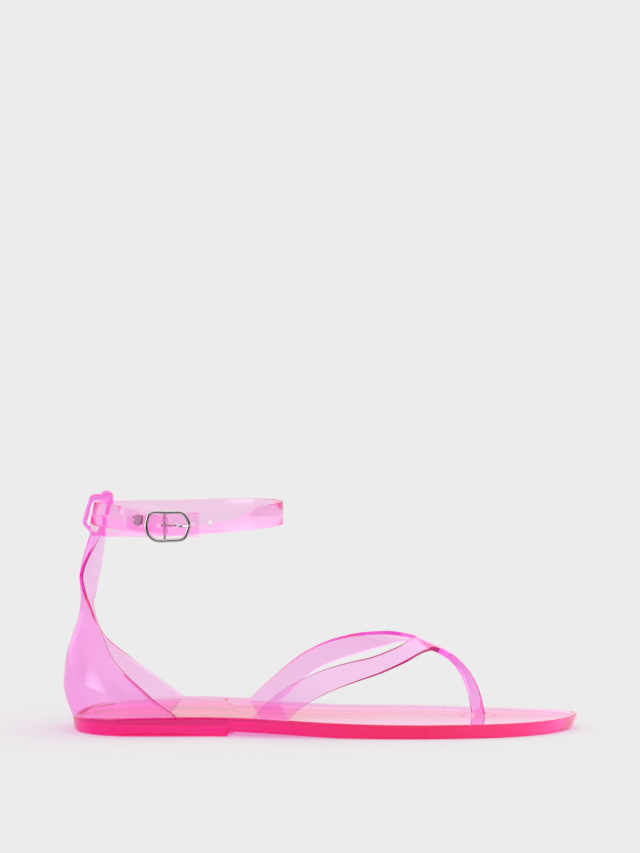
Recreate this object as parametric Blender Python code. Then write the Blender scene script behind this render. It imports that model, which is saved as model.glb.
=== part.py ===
"""Jelly sandal, right shoe: a flat clear vinyl sandal with a toe post and a buckled ankle strap.

Metres, +Z up, toe towards +X, inner (medial) side towards +Y, the buckle on the outer side.
Sizes are worked out with x measured from the back of the sole; the last step centres the
shoe over the origin with its heel and forefoot on z = 0.
"""
import math

import bmesh
import bpy
from mathutils import Vector

FIT_GAP = 0.0003
CURVE_STEPS = 3

# Sole
SOLE_LENGTH = 0.2522
HEEL_WIDTH = 0.0636
BALL_WIDTH = 0.0870
HEEL_NOSE = 0.0300
HEEL_RIM = 0.0099
FOREFOOT_RIM = 0.0068
ARCH_RISE = 0.0030
RIM_BAND = 0.0023
RIM_LIP = 0.0007
FOOTBED_DISH = 0.0005
SOLE_EDGE = 0.0009
SIDE_DRAFT = 0.0010
TOE_DRAFT = 0.0009
TOE_SPRING = 0.0003
TOE_SPRING_SHARE = 0.93
HEEL_BLOCK_LENGTH = 0.0775
ARCH_CLEARANCE = 0.0026
ARCH_LENGTH = 0.0547

# Heel counter, its neck and the loop at the top
COUNTER_WALL = 0.0018
COUNTER_REACH = 0.0530
NECK_TOP = 0.0990
LOOP_HEIGHT = 0.0200
LOOP_DEPTH = 0.0156
LOOP_WIDTH = 0.0062
LOOP_ROUND = 0.0010
KNOB_DIAMETER = 0.0070

# Toe strap: two arms over the last, and the post between the toes
STRAP_WALL = 0.0019
INSTEP_HEIGHT = 0.0640
POST_RISE = 0.0357
POST_DEPTH = 0.0069
POST_WIDTH = 0.0033
SOCKET_DEPTH = 0.0026

# Ankle strap
RING_LENGTH = 0.0938
RING_WIDTH = 0.0636
ANKLE_WIDTH = 0.0115
TAIL_WIDTH = 0.0106
ANKLE_WALL = 0.0018
HOLE_DIAMETER = 0.0020
HOLE_PITCH = 0.0086
HOLE_SLOPE = 0.085
PRONG_HOLE = 0.0032

# Buckle
FRAME_LENGTH = 0.0228
FRAME_HEIGHT = 0.0158
FRAME_WIRE = 0.0017
BAR_DIAMETER = 0.0013
BAR_BACK = 0.0015
PRONG_WIRE = 0.0012
PRONG_PLAY = 0.00015
PRONG_REACH = 0.0055
CHAPE_WALL = 0.0009
CHAPE_WIDTH = 0.0073
CHAPE_LENGTH = 0.0185
CHAPE_SLOPE = 0.076
CHAPE_BEND = 0.0004
RIVET_HEAD = 0.0052
RIVET_SHANK = 0.0020
RIVET_BACK = 0.0132
RIVET_DOME = 0.0007
RIVET_LIFT = 0.0013

# Outline of the sole's top edge from behind the arch to the toe tip: place along the sole, then
# for the outer and for the inner side a heel share and a ball share. Each half breadth is
# heel share * half heel width + ball share * half ball width.
OUTLINE = (
    (0.178, 1.00, 0.000, 1.00, 0.000),
    (0.292, 0.99, 0.000, 0.96, 0.000),
    (0.403, 0.50, 0.430, 0.50, 0.350),
    (0.522, 0.00, 0.915, 0.00, 0.832),
    (0.641, 0.00, 1.000, 0.00, 0.966),
    (0.744, 0.00, 0.972, 0.00, 0.890),
    (0.839, 0.00, 0.870, 0.00, 0.745),
    (0.911, 0.00, 0.670, 0.00, 0.635),
    (0.958, 0.00, 0.425, 0.00, 0.545),
    (0.986, 0.00, 0.165, 0.00, 0.430),
    (0.9976, 0.00, -0.040, 0.00, 0.325),
    (1.000, 0.00, -0.185, 0.00, 0.185),
)

# Height of the rim by place along the sole: the heel's share of the step down to the forefoot,
# and the share of the inner arch's rise.
RIM = (
    (0.000, 0.16, 0.00),
    (0.053, 0.65, 0.35),
    (0.210, 1.00, 1.00),
    (0.350, 0.87, 0.88),
    (0.427, 0.58, 0.50),
    (0.530, 0.29, 0.20),
    (0.650, 0.15, 0.03),
    (0.800, 0.12, 0.00),
    (1.000, 0.10, 0.00),
)

# Sections of the counter and neck: rise and lean as shares of NECK_TOP, half width of the heel's,
# nose of HEEL_NOSE, and the outer and inner front edges' reach of COUNTER_REACH.
COUNTER = (
    (0.000, 0.000, 1.000, 1.00, 1.000, 1.050),
    (0.091, -0.032, 1.003, 0.99, 0.853, 0.925),
    (0.165, -0.046, 0.984, 0.96, 0.745, 0.793),
    (0.237, -0.043, 0.937, 0.91, 0.606, 0.645),
    (0.306, -0.036, 0.862, 0.84, 0.490, 0.500),
    (0.363, -0.026, 0.780, 0.77, 0.404, 0.385),
    (0.429, -0.005, 0.676, 0.67, 0.315, 0.275),
    (0.495, 0.015, 0.560, 0.55, 0.226, 0.203),
    (0.550, 0.031, 0.465, 0.46, 0.145, 0.151),
    (0.599, 0.038, 0.395, 0.40, 0.096, 0.115),
    (0.667, 0.041, 0.340, 0.37, 0.032, 0.140),
    (0.755, 0.034, 0.310, 0.36, 0.006, 0.193),
    (0.810, 0.041, 0.285, 0.35, 0.012, 0.198),
    (0.866, 0.052, 0.250, 0.33, 0.034, 0.190),
    (0.923, 0.068, 0.205, 0.28, 0.062, 0.174),
    (1.000, 0.091, 0.155, 0.22, 0.105, 0.148),
)
COUNTER_LEVELS = 24
COUNTER_POINTS = 17

# The loop in side view, as shares of its depth from its back and of its height from its foot:
# its outside, and the hole that the ankle strap runs through.
LOOP_OUTSIDE = (
    (0.00, 0.30),
    (0.045, 0.48),
    (0.115, 0.65),
    (0.185, 0.83),
    (0.256, 0.945),
    (0.40, 1.00),
    (0.60, 0.995),
    (0.87, 0.96),
    (1.00, 0.86),
    (0.975, 0.70),
    (0.91, 0.55),
    (0.83, 0.36),
    (0.75, 0.18),
    (0.67, 0.07),
    (0.57, 0.00),
    (0.28, 0.00),
    (0.18, 0.095),
    (0.06, 0.19),
)
LOOP_HOLE = (
    (0.195, 0.43),
    (0.24, 0.57),
    (0.275, 0.71),
    (0.33, 0.80),
    (0.42, 0.84),
    (0.64, 0.84),
    (0.76, 0.80),
    (0.78, 0.70),
    (0.73, 0.53),
    (0.67, 0.355),
    (0.61, 0.25),
    (0.50, 0.18),
    (0.33, 0.18),
    (0.205, 0.21),
    (0.14, 0.30),
)
LOOP_SEAT_SHARE = 0.257
STRAP_SEAT_SHARE = 0.355
RING_RISE_SHARE = 0.445
FRAME_BACK_SHARE = 0.103
FRAME_DROP_SHARE = 0.13
PRONG_DROP_SHARE = 0.110

# Places that follow from the sizes: the loop sits on the neck, the ankle ring runs through the
# loop, and the buckle hangs on the ring.
LOOP_BASE = NECK_TOP - 2 * FIT_GAP
LOOP_BACK = COUNTER[-1][1] * NECK_TOP - LOOP_SEAT_SHARE * LOOP_DEPTH
RING_FORWARD = LOOP_BACK + STRAP_SEAT_SHARE * LOOP_DEPTH + RING_LENGTH / 2
RING_HEIGHT = LOOP_BASE + RING_RISE_SHARE * LOOP_HEIGHT
FRAME_FORWARD = RING_FORWARD - FRAME_BACK_SHARE * RING_LENGTH
FRAME_RISE = RING_HEIGHT - FRAME_DROP_SHARE * ANKLE_WIDTH
PRONG_RISE = RING_HEIGHT - PRONG_DROP_SHARE * ANKLE_WIDTH

# Ridge of the last over the instep: place along the sole, and height above the rim as a share
# of INSTEP_HEIGHT.
RIDGE = (
    (0.330, 1.020),
    (0.400, 0.940),
    (0.451, 0.875),
    (0.514, 0.797),
    (0.550, 0.750),
    (0.600, 0.690),
    (0.648, 0.652),
    (0.673, 0.634),
    (0.699, 0.595),
    (0.728, 0.537),
)

# The arms' back and front edges on the last, each a place along the sole and a turn round the
# last in degrees from the outer rim (0) over the ridge (90) to the inner rim (180).
OUTER_ARM = (
    (0.3525, 0.0, 0.4262, 0.0),
    (0.3750, 5.7, 0.4326, 2.0),
    (0.4092, 13.6, 0.4489, 6.6),
    (0.4508, 21.5, 0.4722, 11.4),
    (0.4964, 30.0, 0.5103, 18.4),
    (0.5480, 38.9, 0.5630, 27.6),
    (0.5975, 48.4, 0.6145, 37.6),
    (0.6453, 62.8, 0.6600, 49.5),
    (0.6650, 74.4, 0.6830, 59.0),
    (0.6830, 90.0, 0.7030, 70.5),
)
INNER_ARM = (
    (0.3497, 180.0, 0.4044, 180.0),
    (0.3735, 174.0, 0.4151, 178.2),
    (0.4001, 167.3, 0.4322, 174.0),
    (0.4500, 153.6, 0.4718, 162.5),
    (0.4964, 142.0, 0.5143, 153.5),
    (0.5511, 128.3, 0.5611, 144.0),
    (0.5995, 114.5, 0.6106, 132.0),
    (0.6453, 99.0, 0.6550, 117.5),
    (0.6670, 94.0, 0.6810, 110.0),
    (0.6830, 90.0, 0.7030, 104.5),
)

# The post from the joined arms down to the footbed: place along the sole, then shares of half the
# ball width across, of POST_RISE, POST_WIDTH and POST_DEPTH, and roundness, 1 where fully round.
POST = (
    (0.7137, -0.023, 1.000, 4.10, 0.35, 0.1),
    (0.7343, -0.007, 0.925, 2.73, 0.48, 0.3),
    (0.7597, 0.034, 0.785, 1.88, 0.58, 0.6),
    (0.7815, 0.092, 0.565, 1.40, 0.75, 1.0),
    (0.7953, 0.143, 0.330, 1.15, 0.88, 1.0),
    (0.8028, 0.175, 0.080, 1.03, 0.97, 1.0),
    (0.8042, 0.184, 0.000, 1.00, 1.00, 1.0),
)

# The ankle ring by the turn in degrees from the front over the inner side: its middle's rise
# above RING_HEIGHT as a share of ANKLE_WIDTH, and its top's lean towards the foot in degrees.
RING = (
    (-85.0, -0.01, 0.0),
    (-50.0, 0.10, 0.0),
    (-30.0, 0.15, 0.0),
    (0.0, 0.17, 0.0),
    (30.0, 0.10, 0.0),
    (60.0, 0.02, 0.0),
    (90.0, -0.09, 0.0),
    (120.0, -0.08, 0.0),
    (150.0, 0.00, 5.0),
    (165.0, 0.08, 10.0),
    (180.0, 0.12, 11.0),
    (205.0, 0.19, 6.0),
    (225.0, 0.17, 0.0),
)

# The strap's two layers at the buckle: distance forward of the buckle's middle as a share of
# FRAME_LENGTH, rise as a share of ANKLE_WIDTH, and distance in towards the foot as a share of
# FRAME_LENGTH.
UNDER_LAYER = (
    (0.690, -0.21, 0.000),
    (0.360, -0.14, 0.000),
    (0.000, -0.07, 0.000),
    (-0.340, 0.00, 0.000),
    (-0.600, 0.06, 0.000),
    (-0.745, 0.09, 0.000),
    (-0.877, 0.12, 0.017),
    (-1.010, 0.14, 0.070),
)
TAIL_LAYER = (
    (0.220, -0.07, 0.000),
    (0.000, -0.10, 0.000),
    (-0.360, -0.12, 0.000),
    (-0.750, -0.13, 0.000),
    (-1.200, -0.13, 0.022),
    (-1.670, -0.13, 0.100),
)

# Middle line of the buckle's wire, as shares of half its length and of half its height.
FRAME = (
    (-0.76, 0.97),
    (0.00, 1.00),
    (0.66, 0.98),
    (0.90, 0.62),
    (1.00, 0.14),
    (0.92, -0.44),
    (0.70, -0.90),
    (0.00, -1.00),
    (-0.55, -0.98),
    (-0.88, -0.62),
    (-1.00, -0.12),
    (-0.98, 0.34),
)


def clear_scene():
    for thing in list(bpy.data.objects):
        bpy.data.objects.remove(thing, do_unlink=True)


def read(table, at):
    """The table's other columns at a place in its first, on a smooth curve through the rows."""
    keys = [row[0] for row in table]
    last = len(keys) - 1
    at = min(max(at, keys[0]), keys[last])
    k = min(max(i for i in range(last + 1) if keys[i] <= at), last - 1)
    span = keys[k + 1] - keys[k]
    t = (at - keys[k]) / span

    def slope(column, i):
        low, high = max(i - 1, 0), min(i + 1, last)
        return (column[high] - column[low]) / (keys[high] - keys[low])

    out = []
    for column in list(zip(*table))[1:]:
        start = column[k] * (2 * t**3 - 3 * t**2 + 1) + slope(column, k) * span * (t**3 - 2 * t**2 + t)
        end = column[k + 1] * (3 * t**2 - 2 * t**3) + slope(column, k + 1) * span * (t**3 - t**2)
        out.append(start + end)
    return out


def smooth(rows, steps=CURVE_STEPS, closed=False):
    """Rows of numbers read at more places, on a smooth curve through the given ones."""
    rows = [Vector(row) for row in rows]
    count = len(rows)
    spans = count if closed else count - 1
    out = []
    for k in range(spans):
        if closed:
            a, b, c, d = (rows[(k + j) % count] for j in (-1, 0, 1, 2))
        else:
            b, c = rows[k], rows[k + 1]
            a = rows[k - 1] if k else b * 2 - c
            d = rows[k + 2] if k + 2 < count else c * 2 - b
        for step in range(steps):
            t = step / steps
            out.append(0.5 * (2 * b + (c - a) * t + (2 * a - 5 * b + 4 * c - d) * t**2
                              + (3 * b - a - 3 * c + d) * t**3))
    if not closed:
        out.append(rows[-1])
    return out


def mix(a, b, t):
    return a + (b - a) * t


def skin(bm, first, second, closed=True):
    count = len(first)
    for k in range(count if closed else count - 1):
        corners = []
        for vert in (first[k], first[(k + 1) % count], second[(k + 1) % count], second[k]):
            if vert not in corners:
                corners.append(vert)
        bm.faces.new(corners)


def slab(bm, outer, inner, start_cap=True, end_cap=True):
    """A wall between two grids of points, rows by columns, closed round its edges."""
    rows = []
    for outer_row, inner_row in zip(outer, inner):
        rows.append([bm.verts.new(p) for p in list(outer_row) + list(inner_row)[::-1]])
    for first, second in zip(rows, rows[1:]):
        skin(bm, first, second)
    for row, wanted in ((rows[0], start_cap), (rows[-1], end_cap)):
        if wanted:
            half = len(row) // 2
            skin(bm, row[:half], row[half:][::-1], closed=False)


def wall_inside(grid, wall, towards):
    """A second grid one wall thickness in from the first, on the side of the point towards."""
    rows, columns = len(grid), len(grid[0])
    inside = []
    for i in range(rows):
        row = []
        for j in range(columns):
            down = grid[min(i + 1, rows - 1)][j] - grid[max(i - 1, 0)][j]
            across = grid[i][min(j + 1, columns - 1)] - grid[i][max(j - 1, 0)]
            normal = down.cross(across).normalized()
            if normal.dot(towards - grid[i][j]) < 0:
                normal.negate()
            row.append(grid[i][j] + normal * wall)
        inside.append(row)
    return inside


def tube(bm, path, diameter, sides=8, closed=False, up=Vector((0, 0, 1))):
    """A round wire along a path; closed for a ring."""
    count = len(path)
    rings = []
    for k, centre in enumerate(path):
        before = path[k - 1] if closed or k else centre
        after = path[(k + 1) % count] if closed or k + 1 < count else centre
        ahead = (after - before).normalized()
        side = ahead.cross(up).normalized()
        top = side.cross(ahead)
        ring = []
        for s in range(sides):
            turn = 2 * math.pi * (s + 0.5) / sides
            offset = side * math.cos(turn) + top * math.sin(turn)
            ring.append(bm.verts.new(centre + offset * diameter / 2))
        rings.append(ring)
    for first, second in zip(rings, rings[1:]):
        skin(bm, first, second)
    if closed:
        skin(bm, rings[-1], rings[0])
    else:
        bm.faces.new(rings[0])
        bm.faces.new(rings[-1])


def finish(bm, name, material=None):
    bmesh.ops.remove_doubles(bm, verts=bm.verts, dist=0.000002)
    bmesh.ops.recalc_face_normals(bm, faces=bm.faces)
    mesh = bpy.data.meshes.new(name)
    bm.to_mesh(mesh)
    bm.free()
    piece = bpy.data.objects.new(name, mesh)
    bpy.context.scene.collection.objects.link(piece)
    if material:
        mesh.materials.append(material)
        mesh.shade_smooth()
        mesh.set_sharp_from_angle(angle=math.radians(35.0))
    return piece


def boolean(piece, other, operation):
    """Cut the other from the piece or join it on; the other is only a guide."""
    other.hide_render = True
    other.display_type = "WIRE"
    change = piece.modifiers.new(other.name, "BOOLEAN")
    change.operation = operation
    change.solver = "EXACT"
    change.object = other


def make_material(name, colour, roughness, metallic=0.0, transmission=0.0):
    material = bpy.data.materials.new(name)
    material.use_nodes = True
    shader = material.node_tree.nodes["Principled BSDF"]
    shader.inputs["Base Color"].default_value = (*colour, 1.0)
    shader.inputs["Roughness"].default_value = roughness
    shader.inputs["Metallic"].default_value = metallic
    shader.inputs["Transmission Weight"].default_value = transmission
    material.diffuse_color = (*colour, 1.0)
    material.metallic = metallic
    material.roughness = roughness
    return material


def u_curve(turn, nose, half_width):
    """A point on the heel's rounded outline: an arc to a quarter turn, then straight forward."""
    reach = min(abs(turn), math.pi / 2)
    straight = nose * max(abs(turn) - math.pi / 2, 0.0)
    across = math.copysign(half_width * math.sin(reach), turn)
    return nose * (1 - math.cos(reach)) + straight, across


def u_turn(reach, nose):
    """The turn at which the heel's outline is this far forward of its back."""
    if reach < nose:
        return math.acos(1 - reach / nose)
    return math.pi / 2 + (reach - nose) / nose


def sole_outline():
    """The sole's top edge, outer side then inner side, both from heel to toe."""
    outer, inner = [], []
    for degrees in (0, 20, 40, 60, 80):
        x, y = u_curve(math.radians(degrees), HEEL_NOSE, HEEL_WIDTH / 2)
        outer.append((x, -y))
        inner.append((x, y))
    for along, outer_heel, outer_ball, inner_heel, inner_ball in OUTLINE:
        x = along * SOLE_LENGTH
        outer.append((x, -(outer_heel * HEEL_WIDTH + outer_ball * BALL_WIDTH) / 2))
        inner.append((x, (inner_heel * HEEL_WIDTH + inner_ball * BALL_WIDTH) / 2))
    loop = smooth(outer + inner[-2:0:-1], closed=True)
    half = (len(outer) - 1) * CURVE_STEPS
    return loop[: half + 1], [loop[0]] + loop[: half - 1 : -1]


OUTER_EDGE, INNER_EDGE = sole_outline()


def edge_at(edge, x):
    """How far across the sole's edge lies at this distance from the heel."""
    for a, b in zip(edge, edge[1:]):
        if a.x <= x <= b.x:
            return mix(a.y, b.y, (x - a.x) / (b.x - a.x))
    return edge[-1].y


def rim_height(x, inward):
    """Height of the sole's rim; inward is 0 on the outer side and 1 on the inner side."""
    heel, arch = read(RIM, x / SOLE_LENGTH)
    return FOREFOOT_RIM + heel * (HEEL_RIM - FOREFOOT_RIM) + inward * arch * ARCH_RISE


def footbed_height(x, inward):
    return rim_height(x, inward) - RIM_LIP - FOOTBED_DISH * 4 * inward * (1 - inward)


def sole_bottom(x):
    past = max(x / SOLE_LENGTH - TOE_SPRING_SHARE, 0.0) / (1 - TOE_SPRING_SHARE)
    return TOE_SPRING * past**2


def sole_side(x, y, out, inward):
    """The sole's side at one place of its outline, from the tread up and in to the footbed."""
    draft = SIDE_DRAFT + TOE_DRAFT * (x / SOLE_LENGTH) ** 8
    rim, bottom = rim_height(x, inward), sole_bottom(x)
    steps = (
        (draft + SOLE_EDGE, bottom),
        (draft, bottom + SOLE_EDGE),
        (0.0, rim - SOLE_EDGE / 2),
        (SOLE_EDGE / 2, rim),
        (RIM_BAND, rim),
        (RIM_BAND + RIM_LIP, rim - RIM_LIP),
    )
    return [Vector((x - out.x * inset, y - out.y * inset, z)) for inset, z in steps]


def edge_normal(edge, k, other):
    """The outward direction of the sole's edge in plan."""
    before = edge[k - 1] if k else other[1]
    after = edge[k + 1] if k + 1 < len(edge) else other[-2]
    ahead = (after - before).normalized()
    out = Vector((ahead.y, -ahead.x))
    return out if edge is OUTER_EDGE else -out


def build_sole(material):
    bm = bmesh.new()
    sections = []
    for k, (a, b) in enumerate(zip(OUTER_EDGE, INNER_EDGE)):
        outer = sole_side(a.x, a.y, edge_normal(OUTER_EDGE, k, INNER_EDGE), 0.0)
        inner = sole_side(b.x, b.y, edge_normal(INNER_EDGE, k, OUTER_EDGE), 1.0)
        middle = []
        for inward in (0.25, 0.5, 0.75):
            point = outer[-1].lerp(inner[-1], inward)
            point.z = footbed_height(a.x, inward)
            middle.append(point)
        sections.append([bm.verts.new(p) for p in outer + middle + inner[::-1]])
    for first, second in zip(sections, sections[1:]):
        skin(bm, first, second)
    bmesh.ops.dissolve_degenerate(bm, edges=bm.edges, dist=0.000002)
    sole = finish(bm, "sole", material)
    boolean(sole, arch_cutter(), "DIFFERENCE")
    boolean(sole, post_solid("post_socket", FIT_GAP), "DIFFERENCE")
    return sole


def arch_cutter():
    """The wedge under the arch: the heel block's breast, then a ramp down to the forefoot."""
    bm = bmesh.new()
    below = ARCH_CLEARANCE
    back, front = HEEL_BLOCK_LENGTH, HEEL_BLOCK_LENGTH + 2 * ARCH_LENGTH
    ends = []
    for y in (-BALL_WIDTH, BALL_WIDTH):
        corners = ((back, -below), (front, -below), (back, ARCH_CLEARANCE))
        ends.append([bm.verts.new((x, y, z)) for x, z in corners])
    skin(bm, *ends)
    for end in ends:
        bm.faces.new(end)
    return finish(bm, "arch_wedge")


def post_centre():
    """Where the post stands on the footbed."""
    along, across = POST[-1][:2]
    x, y = along * SOLE_LENGTH, across * BALL_WIDTH / 2
    inward = (y - edge_at(OUTER_EDGE, x)) / (edge_at(INNER_EDGE, x) - edge_at(OUTER_EDGE, x))
    return Vector((x, y, footbed_height(x, inward)))


def post_row(x, y, z, width, depth, roundness, ahead, columns=5):
    """One section of the post: its front and back lines of points, from outer to inner side."""
    out = Vector((-ahead.z, 0, ahead.x))
    front, back = [], []
    for k in range(columns):
        across = 2 * k / (columns - 1) - 1
        thick = depth / 2 * mix(1.0, math.sqrt(1 - 0.8 * across**2), roundness)
        middle = Vector((x, y + across * width / 2, z))
        front.append(middle + out * thick)
        back.append(middle - out * thick)
    return front, back


def post_solid(name, clearance):
    """The post's foot as a plug, for its socket in the sole."""
    foot = post_centre()
    bm = bmesh.new()
    fronts, backs = [], []
    for z in (foot.z + SOCKET_DEPTH, foot.z - SOCKET_DEPTH):
        front, back = post_row(foot.x, foot.y, z, POST_WIDTH + 2 * clearance,
                               POST_DEPTH + 2 * clearance, 1.0, Vector((0, 0, -1)))
        fronts.append(front)
        backs.append(back)
    slab(bm, fronts, backs)
    return finish(bm, name)


def build_counter(material):
    bm = bmesh.new()
    outer = []
    for level in range(COUNTER_LEVELS + 1):
        rise = level / COUNTER_LEVELS
        lean, width, nose, outer_reach, inner_reach = read(COUNTER, rise)
        nose *= HEEL_NOSE
        first = -u_turn(outer_reach * COUNTER_REACH, nose)
        last = u_turn(inner_reach * COUNTER_REACH, nose)
        row = []
        for k in range(COUNTER_POINTS):
            x, y = u_curve(mix(first, last, k / (COUNTER_POINTS - 1)), nose, width * HEEL_WIDTH / 2)
            seat = rim_height(max(x, 0.0), 0.5 + 0.5 * math.copysign(min(abs(y) / (HEEL_WIDTH / 2), 1), y))
            row.append(Vector((x + lean * NECK_TOP, y, mix(seat + FIT_GAP, NECK_TOP, rise))))
        outer.append(row)
    axis = Vector((COUNTER_REACH, 0, NECK_TOP / 2))
    slab(bm, outer, wall_inside(outer, COUNTER_WALL, axis))
    counter = finish(bm, "heel_counter", material)
    boolean(counter, strap_loop(), "UNION")
    boolean(counter, loop_knob(), "UNION")
    return counter


def loop_line(table, inset, across):
    """A line of the loop's side view, set in from its table by the inset, at one place across."""
    points = [Vector((LOOP_BACK + x * LOOP_DEPTH, LOOP_BASE + z * LOOP_HEIGHT)) for x, z in table]
    line = []
    for k, point in enumerate(points):
        ahead = (points[(k + 1) % len(points)] - points[k - 1]).normalized()
        line.append(Vector((point.x + ahead.y * inset, across, point.y - ahead.x * inset)))
    return line


def strap_loop():
    """The keeper at the top of the neck that the ankle strap runs through."""
    outside = []
    for degrees in (-90, -60, -30, 0, 30, 60, 90):
        turn = math.radians(degrees)
        inset = LOOP_ROUND * (1 - math.cos(turn))
        outside.append(loop_line(smooth(LOOP_OUTSIDE, 2, True), inset, LOOP_WIDTH / 2 * math.sin(turn)))
    hole = [loop_line(smooth(LOOP_HOLE, 2, True), 0.0, side * LOOP_WIDTH / 2) for side in (1, -1)]
    bm = bmesh.new()
    for lines in (outside, hole):
        rings = [[bm.verts.new(point) for point in line] for line in lines]
        for first, second in zip(rings, rings[1:]):
            skin(bm, first, second)
    for side in (-1, 1):
        rim = [e for e in bm.edges if e.is_boundary and e.verts[0].co.y * side > 0]
        bmesh.ops.bridge_loops(bm, edges=rim)
    return finish(bm, "strap_loop")


def loop_knob():
    """The rounded head on the loop's front wall."""
    bm = bmesh.new()
    bmesh.ops.create_uvsphere(bm, u_segments=16, v_segments=10, radius=KNOB_DIAMETER / 2)
    x = LOOP_BACK + LOOP_DEPTH - KNOB_DIAMETER / 2
    z = LOOP_BASE + LOOP_HEIGHT - KNOB_DIAMETER / 4
    bmesh.ops.translate(bm, verts=bm.verts, vec=(x, 0, z))
    return finish(bm, "loop_knob")


def last_point(along, turn):
    """A point on the last over the instep, by place along the sole and turn round it."""
    x = along * SOLE_LENGTH
    angle = math.radians(turn)
    edge = OUTER_EDGE if turn <= 90 else INNER_EDGE
    across = abs(math.cos(angle)) * edge_at(edge, x)
    height = read(RIDGE, along)[0] * INSTEP_HEIGHT * math.sin(angle)
    return Vector((x, across, rim_height(x, turn / 180) + FIT_GAP + height))


def arm_grid(table, columns=3):
    grid = []
    for back_along, back_turn, front_along, front_turn in smooth(table, 2):
        row = []
        for k in range(columns):
            t = k / (columns - 1)
            row.append(last_point(mix(back_along, front_along, t), mix(back_turn, front_turn, t)))
        grid.append(row)
    return grid


def build_toe_strap(material):
    last_middle = Vector((OUTER_ARM[4][0] * SOLE_LENGTH, 0, HEEL_RIM))
    outer_arm = arm_grid(OUTER_ARM)
    inner_arm = arm_grid(INNER_ARM)
    outer_back = wall_inside(outer_arm, STRAP_WALL, last_middle)
    inner_back = wall_inside(inner_arm, STRAP_WALL, last_middle)
    crotch = outer_back[-1][0].lerp(inner_back[-1][0], 0.5)
    outer_back[-1][0] = crotch
    inner_back[-1][0] = crotch.copy()

    foot = post_centre()
    rows = []
    for along, across, rise, width, depth, roundness in POST:
        rows.append((along * SOLE_LENGTH, across * BALL_WIDTH / 2, foot.z + rise * POST_RISE,
                     width * POST_WIDTH, depth * POST_DEPTH, roundness))
    rows.append((foot.x, foot.y, foot.z - SOCKET_DEPTH + FIT_GAP, POST_WIDTH, POST_DEPTH, 1.0))
    rows = smooth(rows, 2)
    fronts = [outer_arm[-1][::-1] + inner_arm[-1][1:]]
    backs = [outer_back[-1][::-1] + inner_back[-1][1:]]
    for k, (x, y, z, width, depth, roundness) in enumerate(rows):
        before, after = rows[max(k - 1, 0)], rows[min(k + 1, len(rows) - 1)]
        ahead = Vector((after[0] - before[0], 0, after[2] - before[2])).normalized()
        front, back = post_row(x, y, z, width, depth, roundness, ahead)
        fronts.append(front)
        backs.append(back)

    bm = bmesh.new()
    slab(bm, outer_arm, outer_back, end_cap=False)
    slab(bm, inner_arm, inner_back, end_cap=False)
    slab(bm, fronts, backs, start_cap=False)
    return finish(bm, "toe_strap", material)


# Depths at the buckle, from the middle of its frame in towards the foot.
TAIL_DEPTH = FRAME_WIRE / 2 + FIT_GAP + ANKLE_WALL / 2
BAR_DEPTH = TAIL_DEPTH + ANKLE_WALL / 2 + FIT_GAP + PRONG_WIRE + PRONG_PLAY + BAR_DIAMETER / 2
UNDER_DEPTH = BAR_DEPTH + BAR_DIAMETER / 2 + PRONG_PLAY + PRONG_WIRE + FIT_GAP + ANKLE_WALL / 2
FRAME_ACROSS = -RING_WIDTH / 2 - TAIL_DEPTH
BAR_FORWARD = FRAME_FORWARD - BAR_BACK


def ring_row(turn):
    rise, lean = read(RING, turn)
    angle = math.radians(turn)
    return (RING_FORWARD + RING_LENGTH / 2 * math.cos(angle), RING_WIDTH / 2 * math.sin(angle),
            RING_HEIGHT + rise * ANKLE_WIDTH, lean, ANKLE_WIDTH)


def ankle_path():
    """The strap's middle line: under layer, once round the ankle, through the buckle, tail."""
    rows = []
    for along, rise, inward in UNDER_LAYER:
        rows.append((FRAME_FORWARD + along * FRAME_LENGTH,
                     FRAME_ACROSS + UNDER_DEPTH + inward * FRAME_LENGTH,
                     RING_HEIGHT + rise * ANKLE_WIDTH, 0.0, ANKLE_WIDTH))
    for turn in (221, 208, 195, 180, 165, 150, 130, 110, 90, 70, 50, 32, 16, 0, -16, -32, -50, -70, -84):
        rows.append(ring_row(turn))
    for along, rise, inward in TAIL_LAYER:
        width = mix(ANKLE_WIDTH, TAIL_WIDTH, min(max(0.5 - along, 0.0), 1.0))
        rows.append((FRAME_FORWARD + along * FRAME_LENGTH,
                     FRAME_ACROSS + TAIL_DEPTH + inward * FRAME_LENGTH,
                     RING_HEIGHT + rise * ANKLE_WIDTH, 0.0, width))
    return smooth(rows)


def strip_sections(path, wall):
    """Outer and inner edge points of a strip that stands on edge along a path."""
    outer, inner = [], []
    for k, (x, y, z, lean, width) in enumerate(path):
        before, after = path[max(k - 1, 0)], path[min(k + 1, len(path) - 1)]
        ahead = Vector((after[0] - before[0], after[1] - before[1], 0)).normalized()
        foot_side = Vector((-ahead.y, ahead.x, 0))
        if foot_side.dot(Vector((RING_FORWARD - x, -y, 0))) < 0:
            foot_side.negate()
        tilt = math.radians(lean)
        up = Vector((0, 0, 1)) * math.cos(tilt) + foot_side * math.sin(tilt)
        face = foot_side * math.cos(tilt) - Vector((0, 0, 1)) * math.sin(tilt)
        middle = Vector((x, y, z))
        corners = [middle + up * (width / 2) * s for s in (1, 0, -1)]
        outer.append([p - face * wall / 2 for p in corners])
        inner.append([p + face * wall / 2 for p in corners])
    return outer, inner


def round_cutter(name, x, z, y_from, y_to, diameter, sides=12):
    bm = bmesh.new()
    tube(bm, [Vector((x, y_from, z)), Vector((x, y_to, z))], diameter, sides)
    return finish(bm, name)


def rivet_place():
    x = BAR_FORWARD - RIVET_BACK
    return x, FRAME_RISE + CHAPE_SLOPE * (BAR_FORWARD - x) + RIVET_LIFT


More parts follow.
